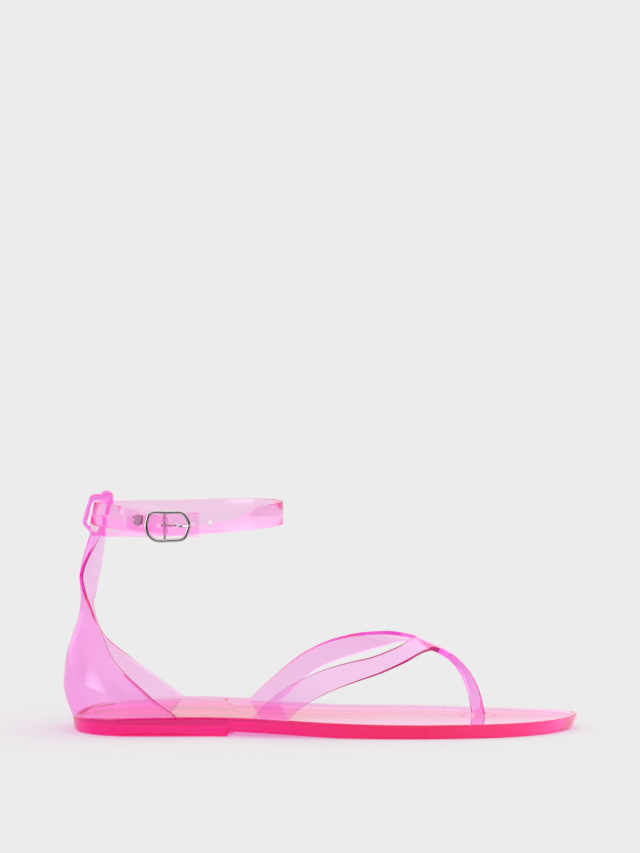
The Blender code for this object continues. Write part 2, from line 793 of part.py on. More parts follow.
def build_ankle_strap(material):
    bm = bmesh.new()
    slab(bm, *strip_sections(ankle_path(), ANKLE_WALL))
    strap = finish(bm, "ankle_strap", material)
    prong_x = BAR_FORWARD + PRONG_REACH
    near, far = FRAME_ACROSS, FRAME_ACROSS + TAIL_DEPTH + 2 * ANKLE_WALL
    for k in range(-2, 3):
        diameter = HOLE_DIAMETER if k else PRONG_HOLE
        rise = PRONG_RISE + HOLE_SLOPE * HOLE_PITCH * max(k, 0)
        cutter = round_cutter(f"strap_hole_{k + 3}", prong_x + k * HOLE_PITCH, rise, near, far, diameter)
        boolean(strap, cutter, "DIFFERENCE")
    x, z = rivet_place()
    middle = FRAME_ACROSS + UNDER_DEPTH
    cutter = round_cutter("strap_rivet_hole", x, z, middle - 2 * ANKLE_WALL, middle + 3 * ANKLE_WALL,
                          RIVET_SHANK + 2 * FIT_GAP)
    boolean(strap, cutter, "DIFFERENCE")
    return strap


def build_frame(material):
    half_length = (FRAME_LENGTH - FRAME_WIRE) / 2
    half_height = (FRAME_HEIGHT - FRAME_WIRE) / 2
    path = []
    for along, up in smooth(FRAME, closed=True):
        path.append(Vector((FRAME_FORWARD + along * half_length, FRAME_ACROSS, FRAME_RISE + up * half_height)))
    bm = bmesh.new()
    tube(bm, path, FRAME_WIRE, closed=True, up=Vector((0, 1, 0)))
    frame = finish(bm, "buckle_frame", material)
    boolean(frame, centre_bar(half_height), "UNION")
    return frame


def centre_bar(half_height):
    """The bar that carries prong and chape: it steps in past the strap's edges."""
    corner = BAR_DIAMETER * 0.6
    path = []
    for side in (1, -1):
        line = [(0.0, 1.0, 0.0), (BAR_DEPTH - corner, 1.0, 0.0),
                (BAR_DEPTH - corner * 0.3, 1.0, corner * 0.3), (BAR_DEPTH, 1.0, corner)]
        points = [Vector((BAR_FORWARD, FRAME_ACROSS + depth, FRAME_RISE + side * (half_height * up - drop)))
                  for depth, up, drop in line]
        path += points if side > 0 else points[::-1]
    bm = bmesh.new()
    tube(bm, path, BAR_DIAMETER, up=Vector((1, 0, 0)))
    return finish(bm, "centre_bar")


def build_prong(material):
    """The prong: an eye round the bar, out through the strap's hole, its tip on the frame."""
    radius = (BAR_DIAMETER + PRONG_WIRE) / 2 + PRONG_PLAY
    points = []
    for degrees in (-40, -90, -135, -180, -225, -270):
        turn = math.radians(degrees)
        points.append((radius * math.cos(turn), BAR_DEPTH - radius * math.sin(turn)))
    tip = FRAME_WIRE / 2 + PRONG_PLAY + PRONG_WIRE / 2
    frame_end = BAR_BACK + (FRAME_LENGTH - FRAME_WIRE) / 2
    under = BAR_DEPTH - radius
    hole = PRONG_REACH
    points += [
        (hole - 2.1 * PRONG_WIRE, under),
        (hole - 1.2 * PRONG_WIRE, under - 0.05 * PRONG_WIRE),
        (hole - 0.5 * PRONG_WIRE, mix(under, TAIL_DEPTH, 0.4)),
        (hole, TAIL_DEPTH),
        (hole + 0.5 * PRONG_WIRE, TAIL_DEPTH - 1.0 * PRONG_WIRE),
        (hole + 1.3 * PRONG_WIRE, -0.1 * PRONG_WIRE),
        (hole + 3.0 * PRONG_WIRE, -0.5 * PRONG_WIRE),
        (frame_end, -tip),
        (frame_end + 0.7 * PRONG_WIRE, -tip),
    ]
    path = [Vector((BAR_FORWARD + x, FRAME_ACROSS + depth, PRONG_RISE)) for x, depth in smooth(points, 2)]
    bm = bmesh.new()
    tube(bm, path, PRONG_WIRE)
    return finish(bm, "buckle_prong", material)


def build_chape(material):
    """The short fold of vinyl that holds the bar, riveted to the strap's under layer."""
    wrap = (BAR_DIAMETER + CHAPE_WALL) / 2 + PRONG_PLAY
    inner_leg = UNDER_DEPTH - ANKLE_WALL / 2 - FIT_GAP - CHAPE_WALL / 2
    outer_leg = inner_leg - CHAPE_WALL - FIT_GAP
    settle = 0.35 * CHAPE_LENGTH
    points = [(-CHAPE_LENGTH, outer_leg + CHAPE_BEND), (-0.85 * CHAPE_LENGTH, outer_leg), (-settle, outer_leg)]
    points.append((-0.17 * CHAPE_LENGTH, mix(outer_leg, BAR_DEPTH - wrap, 0.5)))
    for degrees in (100, 60, 20, -20, -60, -100):
        turn = math.radians(degrees)
        points.append((wrap * math.cos(turn), BAR_DEPTH - wrap * math.sin(turn)))
    points.append((-0.17 * CHAPE_LENGTH, mix(inner_leg, BAR_DEPTH + wrap, 0.5)))
    points += [(-settle, inner_leg), (-0.85 * CHAPE_LENGTH, inner_leg), (-CHAPE_LENGTH, inner_leg + CHAPE_BEND)]
    path = smooth(points, 2)
    outer, inner = [], []
    for k, (x, depth) in enumerate(path):
        before, after = path[max(k - 1, 0)], path[min(k + 1, len(path) - 1)]
        ahead = (after - before).normalized()
        side = Vector((ahead.y, -ahead.x))
        end = min(max((x + CHAPE_LENGTH) / (CHAPE_WIDTH / 2), 0.0), 1.0)
        half = CHAPE_WIDTH / 2 * mix(0.55, 1.0, math.sqrt(1 - (1 - end) ** 2))
        rise = FRAME_RISE - CHAPE_SLOPE * x
        for grid, sign in ((outer, 1), (inner, -1)):
            px = BAR_FORWARD + x + side.x * sign * CHAPE_WALL / 2
            py = FRAME_ACROSS + depth + side.y * sign * CHAPE_WALL / 2
            grid.append([Vector((px, py, rise + s * half)) for s in (1, -1)])
    bm = bmesh.new()
    slab(bm, outer, inner)
    chape = finish(bm, "buckle_chape", material)
    boolean(chape, prong_slot(), "DIFFERENCE")
    x, z = rivet_place()
    cutter = round_cutter("chape_rivet_hole", x, z, FRAME_ACROSS, FRAME_ACROSS + UNDER_DEPTH + ANKLE_WALL,
                          RIVET_SHANK + 2 * FIT_GAP)
    boolean(chape, cutter, "DIFFERENCE")
    return chape


def prong_slot():
    bm = bmesh.new()
    bmesh.ops.create_cube(bm, size=1.0)
    size = Vector((6 * PRONG_WIRE, 4 * BAR_DEPTH, PRONG_WIRE + 2 * FIT_GAP))
    for vert in bm.verts:
        vert.co = Vector((BAR_FORWARD, FRAME_ACROSS, PRONG_RISE)) + vert.co * size
    return finish(bm, "prong_slot")


def build_rivet(material):
    """A two-headed rivet through both legs of the chape and the strap's under layer."""
    inner_face = UNDER_DEPTH + ANKLE_WALL / 2 + FIT_GAP
    outer_face = UNDER_DEPTH - ANKLE_WALL / 2 - 2 * (FIT_GAP + CHAPE_WALL) - FIT_GAP
    head, shank = RIVET_HEAD / 2, RIVET_SHANK / 2
    rise = RIVET_DOME
    profile = ((0.0, outer_face - rise), (0.6 * head, outer_face - 0.85 * rise), (head, outer_face - 0.3 * rise),
               (head, outer_face), (shank, outer_face), (shank, inner_face), (head, inner_face),
               (head, inner_face + 0.3 * rise), (0.6 * head, inner_face + 0.7 * rise), (0.0, inner_face + 0.8 * rise))
    x, z = rivet_place()
    bm = bmesh.new()
    line = [bm.verts.new((x + radius, FRAME_ACROSS + depth, z)) for radius, depth in profile]
    edges = [bm.edges.new(pair) for pair in zip(line, line[1:])]
    bmesh.ops.spin(bm, geom=line + edges, cent=(x, 0, z), axis=(0, 1, 0), angle=2 * math.pi, steps=14,
                   use_merge=True)
    return finish(bm, "rivet", material)


def centre_on_floor(pieces):
    """Move every mesh so that the shoe's box is centred over the origin."""
    bpy.context.view_layer.update()
    corners = [piece.matrix_world @ Vector(c) for piece in pieces for c in piece.bound_box]
    shift = Vector((-(min(c.x for c in corners) + max(c.x for c in corners)) / 2,
                    -(min(c.y for c in corners) + max(c.y for c in corners)) / 2, 0))
    for mesh in {thing.data for thing in bpy.data.objects if thing.type == "MESH"}:
        for vert in mesh.vertices:
            vert.co += shift


def main():
    clear_scene()
    sole_vinyl = make_material("clear_pink_sole", (0.85, 0.02, 0.16), 0.12, transmission=0.8)
    strap_vinyl = make_material("clear_pink_strap", (0.95, 0.35, 0.62), 0.10, transmission=0.8)
    steel = make_material("polished_steel", (0.62, 0.60, 0.60), 0.12, metallic=1.0)
    pieces = [
        build_sole(sole_vinyl),
        build_counter(strap_vinyl),
        build_toe_strap(strap_vinyl),
        build_ankle_strap(strap_vinyl),
        build_chape(strap_vinyl),
        build_frame(steel),
        build_prong(steel),
        build_rivet(steel),
    ]
    centre_on_floor(pieces)


main()
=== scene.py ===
import math

import bmesh
import bpy
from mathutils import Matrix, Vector


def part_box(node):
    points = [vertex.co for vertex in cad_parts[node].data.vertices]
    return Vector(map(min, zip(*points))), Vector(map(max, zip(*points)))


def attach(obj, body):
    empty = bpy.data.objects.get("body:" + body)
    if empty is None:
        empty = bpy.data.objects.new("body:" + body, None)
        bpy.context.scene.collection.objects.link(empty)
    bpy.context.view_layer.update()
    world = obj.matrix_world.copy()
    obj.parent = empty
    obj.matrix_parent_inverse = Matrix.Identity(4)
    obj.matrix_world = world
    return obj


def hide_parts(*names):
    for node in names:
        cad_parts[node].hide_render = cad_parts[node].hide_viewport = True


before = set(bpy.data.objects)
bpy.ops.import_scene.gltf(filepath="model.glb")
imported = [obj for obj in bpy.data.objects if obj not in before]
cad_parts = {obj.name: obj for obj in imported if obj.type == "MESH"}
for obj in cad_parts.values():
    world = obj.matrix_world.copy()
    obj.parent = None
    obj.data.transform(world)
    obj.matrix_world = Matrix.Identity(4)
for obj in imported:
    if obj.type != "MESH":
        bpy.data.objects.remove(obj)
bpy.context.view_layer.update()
scene = bpy.context.scene


# The sole: one thick moulding of clear pink vinyl, flat under heel and forefoot, with a step and
# a shallow ramp under the arch. A narrow rim stands proud of the footbed all round, and a fine
# round line is pressed into the footbed where the toe post enters it.
def read(table, at):
    """The table's other columns at a place in its first, on a smooth curve through the rows."""
    keys = [row[0] for row in table]
    last = len(keys) - 1
    at = min(max(at, keys[0]), keys[last])
    k = min(max(i for i in range(last + 1) if keys[i] <= at), last - 1)
    span = keys[k + 1] - keys[k]
    t = (at - keys[k]) / span

    def slope(column, i):
        low, high = max(i - 1, 0), min(i + 1, last)
        return (column[high] - column[low]) / (keys[high] - keys[low])

    out = []
    for column in list(zip(*table))[1:]:
        start = column[k] * (2 * t**3 - 3 * t**2 + 1) + slope(column, k) * span * (t**3 - 2 * t**2 + t)
        end = column[k + 1] * (3 * t**2 - 2 * t**3) + slope(column, k + 1) * span * (t**3 - t**2)
        out.append(start + end)
    return out


def smooth(rows, steps, closed=False):
    """Rows of numbers read at more places, on a smooth curve through the given ones."""
    rows = [Vector(row) for row in rows]
    count = len(rows)
    spans = count if closed else count - 1
    out = []
    for k in range(spans):
        if closed:
            a, b, c, d = (rows[(k + j) % count] for j in (-1, 0, 1, 2))
        else:
            b, c = rows[k], rows[k + 1]
            a = rows[k - 1] if k else b * 2 - c
            d = rows[k + 2] if k + 2 < count else c * 2 - b
        for step in range(steps):
            t = step / steps
            out.append(0.5 * (2 * b + (c - a) * t + (2 * a - 5 * b + 4 * c - d) * t**2
                              + (3 * b - a - 3 * c + d) * t**3))
    if not closed:
        out.append(rows[-1])
    return out


def mix(a, b, t):
    return a + (b - a) * t


def sweep(bm, sections, ring=True, painted_strips=()):
    """Extrudes the first section's line of points through all the others; a ring is closed.

    The strips of faces that start at the listed points get the second material, the painted edge shade.
    """
    line = [bm.verts.new(point) for point in sections[0]]
    edges = [bm.edges.new(pair) for pair in zip(line, line[1:])]
    if ring:
        edges.append(bm.edges.new((line[-1], line[0])))
    first = list(line)
    for section in sections[1:]:
        made = bmesh.ops.extrude_edge_only(bm, edges=edges)["geom"]
        fresh = {v for v in made if isinstance(v, bmesh.types.BMVert)}
        before = line
        line = [next(e.other_vert(v) for e in v.link_edges if e.other_vert(v) in fresh) for v in before]
        for vert, point in zip(line, section):
            vert.co = point
        edges = [e for e in made if isinstance(e, bmesh.types.BMEdge) and all(v in fresh for v in e.verts)]
        for j in painted_strips:
            k = (j + 1) % len(line)
            bm.faces.get((before[j], before[k], line[k], line[j])).material_index = 1
    return first, line


SOLE_LENGTH = 0.2522
HEEL_WIDTH = 0.0636
BALL_WIDTH = 0.0870
HEEL_NOSE = 0.0300
HEEL_RIM = 0.0099
FOREFOOT_RIM = 0.0068
ARCH_RISE = 0.0030
RIM_BAND = 0.0023
RIM_LIP = 0.0007
FOOTBED_DISH = 0.0005
RIM_ROUND = 0.0006
RIM_SLOPE = 0.0011
SIDE_DRAFT = 0.0010
TOE_DRAFT = 0.0009
EDGE_ROUND = 0.0010
TREAD_INSET = 0.0022
TOE_SPRING = 0.0003
TOE_SPRING_SHARE = 0.93
HEEL_BLOCK_LENGTH = 0.0775
ARCH_CLEARANCE = 0.0026
ARCH_LENGTH = 0.0547
BREAST_GAP = 0.00003
POST_PLACE = (0.8042, 0.184)
RING_RADIUS = 0.0088
RING_LINE = 0.0005
RING_DEPTH = 0.0006
TREAD_SIDE = 0.0035
FOOTBED_SIDE = 0.0045
OUTLINE_STEPS = 6
END_POINTS = 9

# Share of the sole's length, then for the outer and the inner side the shares of the heel's and
# of the ball's half width.
OUTLINE = (
    (0.178, 1.00, 0.000, 1.00, 0.000),
    (0.292, 0.99, 0.000, 0.96, 0.000),
    (0.403, 0.50, 0.430, 0.50, 0.350),
    (0.522, 0.00, 0.915, 0.00, 0.832),
    (0.641, 0.00, 1.000, 0.00, 0.966),
    (0.744, 0.00, 0.972, 0.00, 0.890),
    (0.839, 0.00, 0.870, 0.00, 0.745),
    (0.911, 0.00, 0.670, 0.00, 0.635),
    (0.958, 0.00, 0.425, 0.00, 0.545),
    (0.986, 0.00, 0.165, 0.00, 0.430),
    (0.9976, 0.00, -0.040, 0.00, 0.325),
    (1.000, 0.00, -0.185, 0.00, 0.185),
)

# Share of the sole's length, the rim's rise from the forefoot's height to the heel's, and the
# share of ARCH_RISE that its inner side stands higher.
RIM = (
    (0.000, 0.16, 0.00),
    (0.053, 0.65, 0.35),
    (0.210, 1.00, 1.00),
    (0.350, 0.87, 0.88),
    (0.427, 0.58, 0.50),
    (0.530, 0.29, 0.20),
    (0.650, 0.15, 0.03),
    (0.800, 0.12, 0.00),
    (1.000, 0.10, 0.00),
)


def u_curve(turn, nose, half_width):
    """A point on the heel's rounded outline: an arc to a quarter turn, then straight forward."""
    reach = min(abs(turn), math.pi / 2)
    straight = nose * max(abs(turn) - math.pi / 2, 0.0)
    return nose * (1 - math.cos(reach)) + straight, math.copysign(half_width * math.sin(reach), turn)


def sole_outline():
    """The sole's top edge, outer side then inner side, both from heel to toe."""
    outer, inner = [], []
    for degrees in (0, 20, 40, 60, 80):
        x, y = u_curve(math.radians(degrees), HEEL_NOSE, HEEL_WIDTH / 2)
        outer.append((x, -y))
        inner.append((x, y))
    for along, outer_heel, outer_ball, inner_heel, inner_ball in OUTLINE:
        x = along * SOLE_LENGTH
        outer.append((x, -(outer_heel * HEEL_WIDTH + outer_ball * BALL_WIDTH) / 2))
        inner.append((x, (inner_heel * HEEL_WIDTH + inner_ball * BALL_WIDTH) / 2))
    loop = smooth(outer + inner[-2:0:-1], OUTLINE_STEPS, closed=True)
    half = (len(outer) - 1) * OUTLINE_STEPS
    return loop[: half + 1], [loop[0]] + loop[: half - 1 : -1]


def with_breast(edge):
    """The same edge with two points a hair apart where the heel block ends."""
    for k, (a, b) in enumerate(zip(edge, edge[1:])):
        if a.x < HEEL_BLOCK_LENGTH <= b.x:
            pair = [a.lerp(b, (HEEL_BLOCK_LENGTH + side - a.x) / (b.x - a.x))
                    for side in (-BREAST_GAP, BREAST_GAP)]
            return edge[: k + 1] + pair + edge[k + 1 :]
    return edge


OUTER_EDGE, INNER_EDGE = sole_outline()


def edge_at(edge, x):
    """How far across the sole's edge lies at this distance from the heel."""
    for a, b in zip(edge, edge[1:]):
        if a.x <= x <= b.x:
            return mix(a.y, b.y, (x - a.x) / (b.x - a.x)) if b.x > a.x else a.y
    return edge[-1].y


def rim_height(x, inward):
    heel, arch = read(RIM, x / SOLE_LENGTH)
    return FOREFOOT_RIM + heel * (HEEL_RIM - FOREFOOT_RIM) + inward * arch * ARCH_RISE


def footbed_height(x, inward):
    return rim_height(x, inward) - RIM_LIP - FOOTBED_DISH * 4 * inward * (1 - inward)


def sole_bottom(x):
    past = max(x / SOLE_LENGTH - TOE_SPRING_SHARE, 0.0) / (1 - TOE_SPRING_SHARE)
    ramp = 1 - (x - HEEL_BLOCK_LENGTH) / ARCH_LENGTH if x > HEEL_BLOCK_LENGTH else 0.0
    return TOE_SPRING * past**2 + ARCH_CLEARANCE * max(ramp, 0.0)


def sole_side(x, y, out, inward):
    """The side at one place of the outline, from the tread up over the rim to the footbed."""
    draft = SIDE_DRAFT + TOE_DRAFT * (x / SOLE_LENGTH) ** 8
    rim, bottom = rim_height(x, inward), sole_bottom(x)
    steps = [(draft + TREAD_INSET, bottom)]
    for degrees in (0, 30, 60, 90):
        turn = math.radians(degrees)
        steps.append((draft + EDGE_ROUND * (1 - math.sin(turn)), bottom + EDGE_ROUND * (1 - math.cos(turn))))
    for share in (0.33, 0.66):
        steps.append((mix(draft, 0.0, share), mix(bottom + EDGE_ROUND, rim - RIM_ROUND, share)))
    for degrees in (0, 30, 60, 90):
        turn = math.radians(degrees)
        steps.append((RIM_ROUND * (1 - math.cos(turn)), rim - RIM_ROUND * (1 - math.sin(turn))))
    for share, drop in ((0.0, 0.0), (0.25, 0.06), (0.5, 0.5), (0.75, 0.94), (1.0, 1.0)):
        steps.append((RIM_BAND + RIM_SLOPE * share, rim - RIM_LIP * drop))
    return [Vector((x - out.x * inset, y - out.y * inset, z)) for inset, z in steps]


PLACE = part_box("sole")[0] - Vector((0, min(p.y for p in OUTER_EDGE), 0))


def finish(bm, name, angle=35.0):
    """The finished mesh as a piece, moved from the heel's corner to where the solids stand."""
    bmesh.ops.remove_doubles(bm, verts=bm.verts, dist=0.000001)
    bmesh.ops.recalc_face_normals(bm, faces=bm.faces)
    bmesh.ops.translate(bm, verts=bm.verts, vec=PLACE)
    mesh = bpy.data.meshes.new(name)
    bm.to_mesh(mesh)
    bm.free()
    mesh.shade_smooth()
    mesh.set_sharp_from_angle(angle=math.radians(angle))
    piece = bpy.data.objects.new(name, mesh)
    scene.collection.objects.link(piece)
    return piece


def map_range(nodes, *ranges):
    """A node that turns the range of the first two numbers into that of the last two."""
    node = nodes.new("ShaderNodeMapRange")
    for name, value in zip(("From Min", "From Max", "To Min", "To Max"), ranges):
        node.inputs[name].default_value = value
    return node


def clear_vinyl(name, dye, depth, gloss, painted_glow=0.0, painted_glow_colour=(1.0, 1.0, 1.0)):
    """Clear dyed vinyl: the dye is in the depth of the material, the surface is moulded glossy.

    Light that has left a matt surface passes straight through it, which keeps the floor clean.
    """
    material = bpy.data.materials.new(name)
    material.use_nodes = True
    nodes, links = material.node_tree.nodes, material.node_tree.links
    shader = nodes["Principled BSDF"]
    shader.inputs["Base Color"].default_value = (1.0, 0.97, 0.985, 1.0)
    shader.inputs["Transmission Weight"].default_value = 1.0
    shader.inputs["IOR"].default_value = 1.5
    shader.inputs["Specular IOR Level"].default_value = gloss
    # Painted light: the emission set here makes the vinyl give off a little light of its own, although it is
    # no lamp.
    shader.inputs["Emission Color"].default_value = (*painted_glow_colour, 1.0)
    shader.inputs["Emission Strength"].default_value = painted_glow
    place = nodes.new("ShaderNodeTexCoord")
    cloud = nodes.new("ShaderNodeTexNoise")
    cloud.inputs["Scale"].default_value = 55.0
    cloud.inputs["Detail"].default_value = 4.0
    links.new(place.outputs["Object"], cloud.inputs["Vector"])
    haze = map_range(nodes, 0.0, 1.0, 0.02, 0.09)
    links.new(cloud.outputs["Fac"], haze.inputs["Value"])
    links.new(haze.outputs["Result"], shader.inputs["Roughness"])
    ripple = nodes.new("ShaderNodeTexNoise")
    ripple.inputs["Scale"].default_value = 130.0
    ripple.inputs["Detail"].default_value = 2.0
    links.new(place.outputs["Object"], ripple.inputs["Vector"])
    bump = nodes.new("ShaderNodeBump")
    bump.inputs["Strength"].default_value = 0.06
    bump.inputs["Distance"].default_value = 0.0002
    links.new(ripple.outputs["Fac"], bump.inputs["Height"])
    links.new(bump.outputs["Normal"], shader.inputs["Normal"])
    absorb = nodes.new("ShaderNodeVolumeAbsorption")
    absorb.inputs["Color"].default_value = (*dye, 1.0)
    absorb.inputs["Density"].default_value = depth
    links.new(absorb.outputs["Volume"], nodes["Material Output"].inputs["Volume"])
    rays = nodes.new("ShaderNodeLightPath")
    through = nodes.new("ShaderNodeBsdfTransparent")
    lit = nodes.new("ShaderNodeMixShader")
    links.new(rays.outputs["Is Diffuse Ray"], lit.inputs["Fac"])
    links.new(shader.outputs["BSDF"], lit.inputs[1])
    links.new(through.outputs["BSDF"], lit.inputs[2])
    links.new(lit.outputs["Shader"], nodes["Material Output"].inputs["Surface"])
    return material


def build_sole():
    """The side swept round the outline, with a grid of faces across the tread and the footbed.

    The grid's long sides stop END_POINTS points before the tips of heel and toe.
    """
    outer, inner = with_breast(OUTER_EDGE), with_breast(INNER_EDGE)
    loop = [(p, 0.0) for p in outer] + [(p, 1.0) for p in inner[-2:0:-1]]
    count = len(loop)
    columns = []
    for k, (point, inward) in enumerate(loop):
        ahead = (loop[(k + 1) % count][0] - loop[k - 1][0]).normalized()
        columns.append(sole_side(point.x, point.y, Vector((ahead.y, -ahead.x)), inward))
    bm = bmesh.new()
    tread, bed = sweep(bm, list(zip(*columns)))
    bm.edges.ensure_lookup_table()
    for ring, height in ((tread, lambda x, inward: sole_bottom(x)), (bed, footbed_height)):
        stop = len(outer) - END_POINTS
        sides = []
        for line in (ring[END_POINTS:stop], [ring[-k % count] for k in range(END_POINTS, stop)]):
            sides += [bm.edges.get(pair) for pair in zip(line, line[1:])]
        before = set(bm.verts)
        bmesh.ops.grid_fill(bm, edges=sides, use_interp_simple=False)
        for vert in bm.verts:
            if vert not in before:
                low, high = edge_at(OUTER_EDGE, vert.co.x), edge_at(INNER_EDGE, vert.co.x)
                vert.co.z = height(vert.co.x, min(max((vert.co.y - low) / (high - low), 0.0), 1.0))
    bmesh.ops.holes_fill(bm, edges=[e for e in bm.edges if e.is_boundary])
    return finish(bm, "clear_sole", 50.0)


def painted_side_glow(material, stops):
    """Painted light on the moulding's sides: an emission, stronger towards the toe, that stands in for the
    light clear vinyl lets out where it leaves its edge.
    """
    nodes, links = material.node_tree.nodes, material.node_tree.links
    place = nodes.new("ShaderNodeTexCoord")
    parts = nodes.new("ShaderNodeSeparateXYZ")
    links.new(place.outputs["Object"], parts.inputs["Vector"])
    along = map_range(nodes, -0.5 * SOLE_LENGTH, 0.5 * SOLE_LENGTH, 0.0, 1.0)
    links.new(parts.outputs["X"], along.inputs["Value"])
    ramp = nodes.new("ShaderNodeValToRGB")
    while len(ramp.color_ramp.elements) < len(stops):
        ramp.color_ramp.elements.new(0.5)
    for element, (at, colour) in zip(ramp.color_ramp.elements, stops):
        element.position = at
        element.color = (*colour, 1.0)
    links.new(along.outputs["Result"], ramp.inputs["Fac"])
    facing = nodes.new("ShaderNodeSeparateXYZ")
    links.new(place.outputs["Normal"], facing.inputs["Vector"])
    upright = nodes.new("ShaderNodeMath")
    upright.operation = "ABSOLUTE"
    links.new(facing.outputs["Z"], upright.inputs[0])
    side = map_range(nodes, 0.2, 0.7, 1.0, 0.0)
    links.new(upright.outputs["Value"], side.inputs["Value"])
    shader = nodes["Principled BSDF"]
    links.new(ramp.outputs["Color"], shader.inputs["Emission Color"])
    links.new(side.outputs["Result"], shader.inputs["Emission Strength"])


def press_ring(material, centre):
    """Adds a fine round line, pressed into the footbed only, to a vinyl material's relief."""
    nodes, links = material.node_tree.nodes, material.node_tree.links
    shader = nodes["Principled BSDF"]
    place = nodes.new("ShaderNodeTexCoord")
    parts = nodes.new("ShaderNodeSeparateXYZ")
    links.new(place.outputs["Object"], parts.inputs["Vector"])
    flat = nodes.new("ShaderNodeCombineXYZ")
    links.new(parts.outputs["X"], flat.inputs["X"])
    links.new(parts.outputs["Y"], flat.inputs["Y"])
    away = nodes.new("ShaderNodeVectorMath")
    away.operation = "DISTANCE"
    away.inputs[1].default_value = (centre.x, centre.y, 0.0)
    links.new(flat.outputs["Vector"], away.inputs[0])
    off = nodes.new("ShaderNodeMath")
    off.operation = "SUBTRACT"
    off.inputs[1].default_value = RING_RADIUS
    links.new(away.outputs["Value"], off.inputs[0])
    size = nodes.new("ShaderNodeMath")
    size.operation = "ABSOLUTE"
    links.new(off.outputs["Value"], size.inputs[0])
    groove = map_range(nodes, 0.0, RING_LINE, 0.0, 1.0)
    links.new(size.outputs["Value"], groove.inputs["Value"])
    top = map_range(nodes, TREAD_SIDE, FOOTBED_SIDE, 0.0, 1.0)
    links.new(parts.outputs["Z"], top.inputs["Value"])
    depth = nodes.new("ShaderNodeMix")
    depth.data_type = "FLOAT"
    depth.inputs["A"].default_value = 1.0
    links.new(top.outputs["Result"], depth.inputs["Factor"])
    links.new(groove.outputs["Result"], depth.inputs["B"])
    relief = nodes.new("ShaderNodeBump")
    relief.inputs["Distance"].default_value = RING_DEPTH
    links.new(depth.outputs["Result"], relief.inputs["Height"])
    links.new(shader.inputs["Normal"].links[0].from_socket, relief.inputs["Normal"])
    links.new(relief.outputs["Normal"], shader.inputs["Normal"])
    return material


sole = build_sole()
ring_centre = PLACE + Vector((POST_PLACE[0] * SOLE_LENGTH, POST_PLACE[1] * BALL_WIDTH / 2, 0))
sole_vinyl = clear_vinyl("clear_pink_sole", (0.976, 0.0, 0.72), 100.0, 0.08)
# Painted light on the sole's sides: a faint bluish emission at the heel that grows to a bright pink at the
# toe.
painted_side_glow(sole_vinyl, (
    (0.00, (0.000, 0.000, 0.015)),
    (0.70, (0.010, 0.004, 0.020)),
    (0.90, (0.060, 0.030, 0.050)),
    (0.96, (0.200, 0.080, 0.150)),
    (1.00, (0.450, 0.150, 0.300)),
))
sole.data.materials.append(press_ring(sole_vinyl, ring_centre))
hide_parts("sole")
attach(sole, "root")


# The heel counter: a thin cup of clear vinyl that stands on the sole's rim and narrows into a
# tall neck. The neck ends in a keeper loop for the ankle strap with a rounded knob on its front;
# cup, neck, loop and knob are moulded in one.
COUNTER_WALL = 0.0018
COUNTER_REACH = 0.0530
NECK_TOP = 0.0990
FIT_GAP = 0.0003
LOOP_HEIGHT = 0.0200
LOOP_DEPTH = 0.0156
LOOP_WIDTH = 0.0062
LOOP_ROUND = 0.0010
LOOP_EASE = 0.0004
LOOP_SEAT_SHARE = 0.257
KNOB_DIAMETER = 0.0070
SEAT_DEPTH = 0.0004
WALL_ROUND = 0.0003

# Rise from the rim to NECK_TOP, lean forward as a share of NECK_TOP, half width as a share of
# the heel's, nose of HEEL_NOSE, and the outer and inner front edges' reach of COUNTER_REACH.
COUNTER = (
    (0.000, 0.000, 1.000, 1.00, 1.000, 1.050),
    (0.091, -0.032, 1.003, 0.99, 0.853, 0.925),
    (0.165, -0.046, 0.984, 0.96, 0.745, 0.793),
    (0.237, -0.043, 0.937, 0.91, 0.606, 0.645),
    (0.306, -0.036, 0.862, 0.84, 0.490, 0.500),
    (0.363, -0.026, 0.780, 0.77, 0.404, 0.385),
    (0.429, -0.005, 0.676, 0.67, 0.315, 0.275),
    (0.495, 0.015, 0.560, 0.55, 0.226, 0.203),
    (0.550, 0.031, 0.465, 0.46, 0.145, 0.151),
    (0.599, 0.038, 0.395, 0.40, 0.096, 0.115),
    (0.667, 0.041, 0.340, 0.37, 0.032, 0.140),
    (0.755, 0.034, 0.310, 0.36, 0.006, 0.193),
    (0.810, 0.041, 0.285, 0.35, 0.012, 0.198),
    (0.866, 0.052, 0.250, 0.33, 0.034, 0.190),
    (0.923, 0.068, 0.205, 0.28, 0.062, 0.174),
    (1.000, 0.091, 0.155, 0.22, 0.105, 0.148),
)

# The loop's outline and its hole seen from the side, as shares of LOOP_DEPTH and LOOP_HEIGHT.
LOOP_OUTSIDE = (
    (0.00, 0.30),
    (0.045, 0.48),
    (0.115, 0.65),
    (0.185, 0.83),
    (0.256, 0.945),
    (0.40, 1.00),
    (0.60, 0.995),
    (0.87, 0.96),
    (1.00, 0.86),
    (0.975, 0.70),
    (0.91, 0.55),
    (0.83, 0.36),
    (0.75, 0.18),
    (0.67, 0.07),
    (0.57, 0.00),
    (0.28, 0.00),
    (0.18, 0.095),
    (0.06, 0.19),
)
LOOP_HOLE = (
    (0.195, 0.43),
    (0.24, 0.57),
    (0.275, 0.71),
    (0.33, 0.80),
    (0.42, 0.84),
    (0.64, 0.84),
    (0.76, 0.80),
    (0.78, 0.70),
    (0.73, 0.53),
    (0.67, 0.355),
    (0.61, 0.25),
    (0.50, 0.18),
    (0.33, 0.18),
    (0.205, 0.21),
    (0.14, 0.30),
)
COUNTER_LEVELS = 110
COUNTER_POINTS = 56
LOOP_BASE = NECK_TOP - 2 * FIT_GAP
LOOP_BACK = COUNTER[-1][1] * NECK_TOP - LOOP_SEAT_SHARE * LOOP_DEPTH
TRIM_SHARE = 0.34


def u_turn(reach, nose):
    if reach < nose:
        return math.acos(1 - reach / nose)
    return math.pi / 2 + (reach - nose) / nose


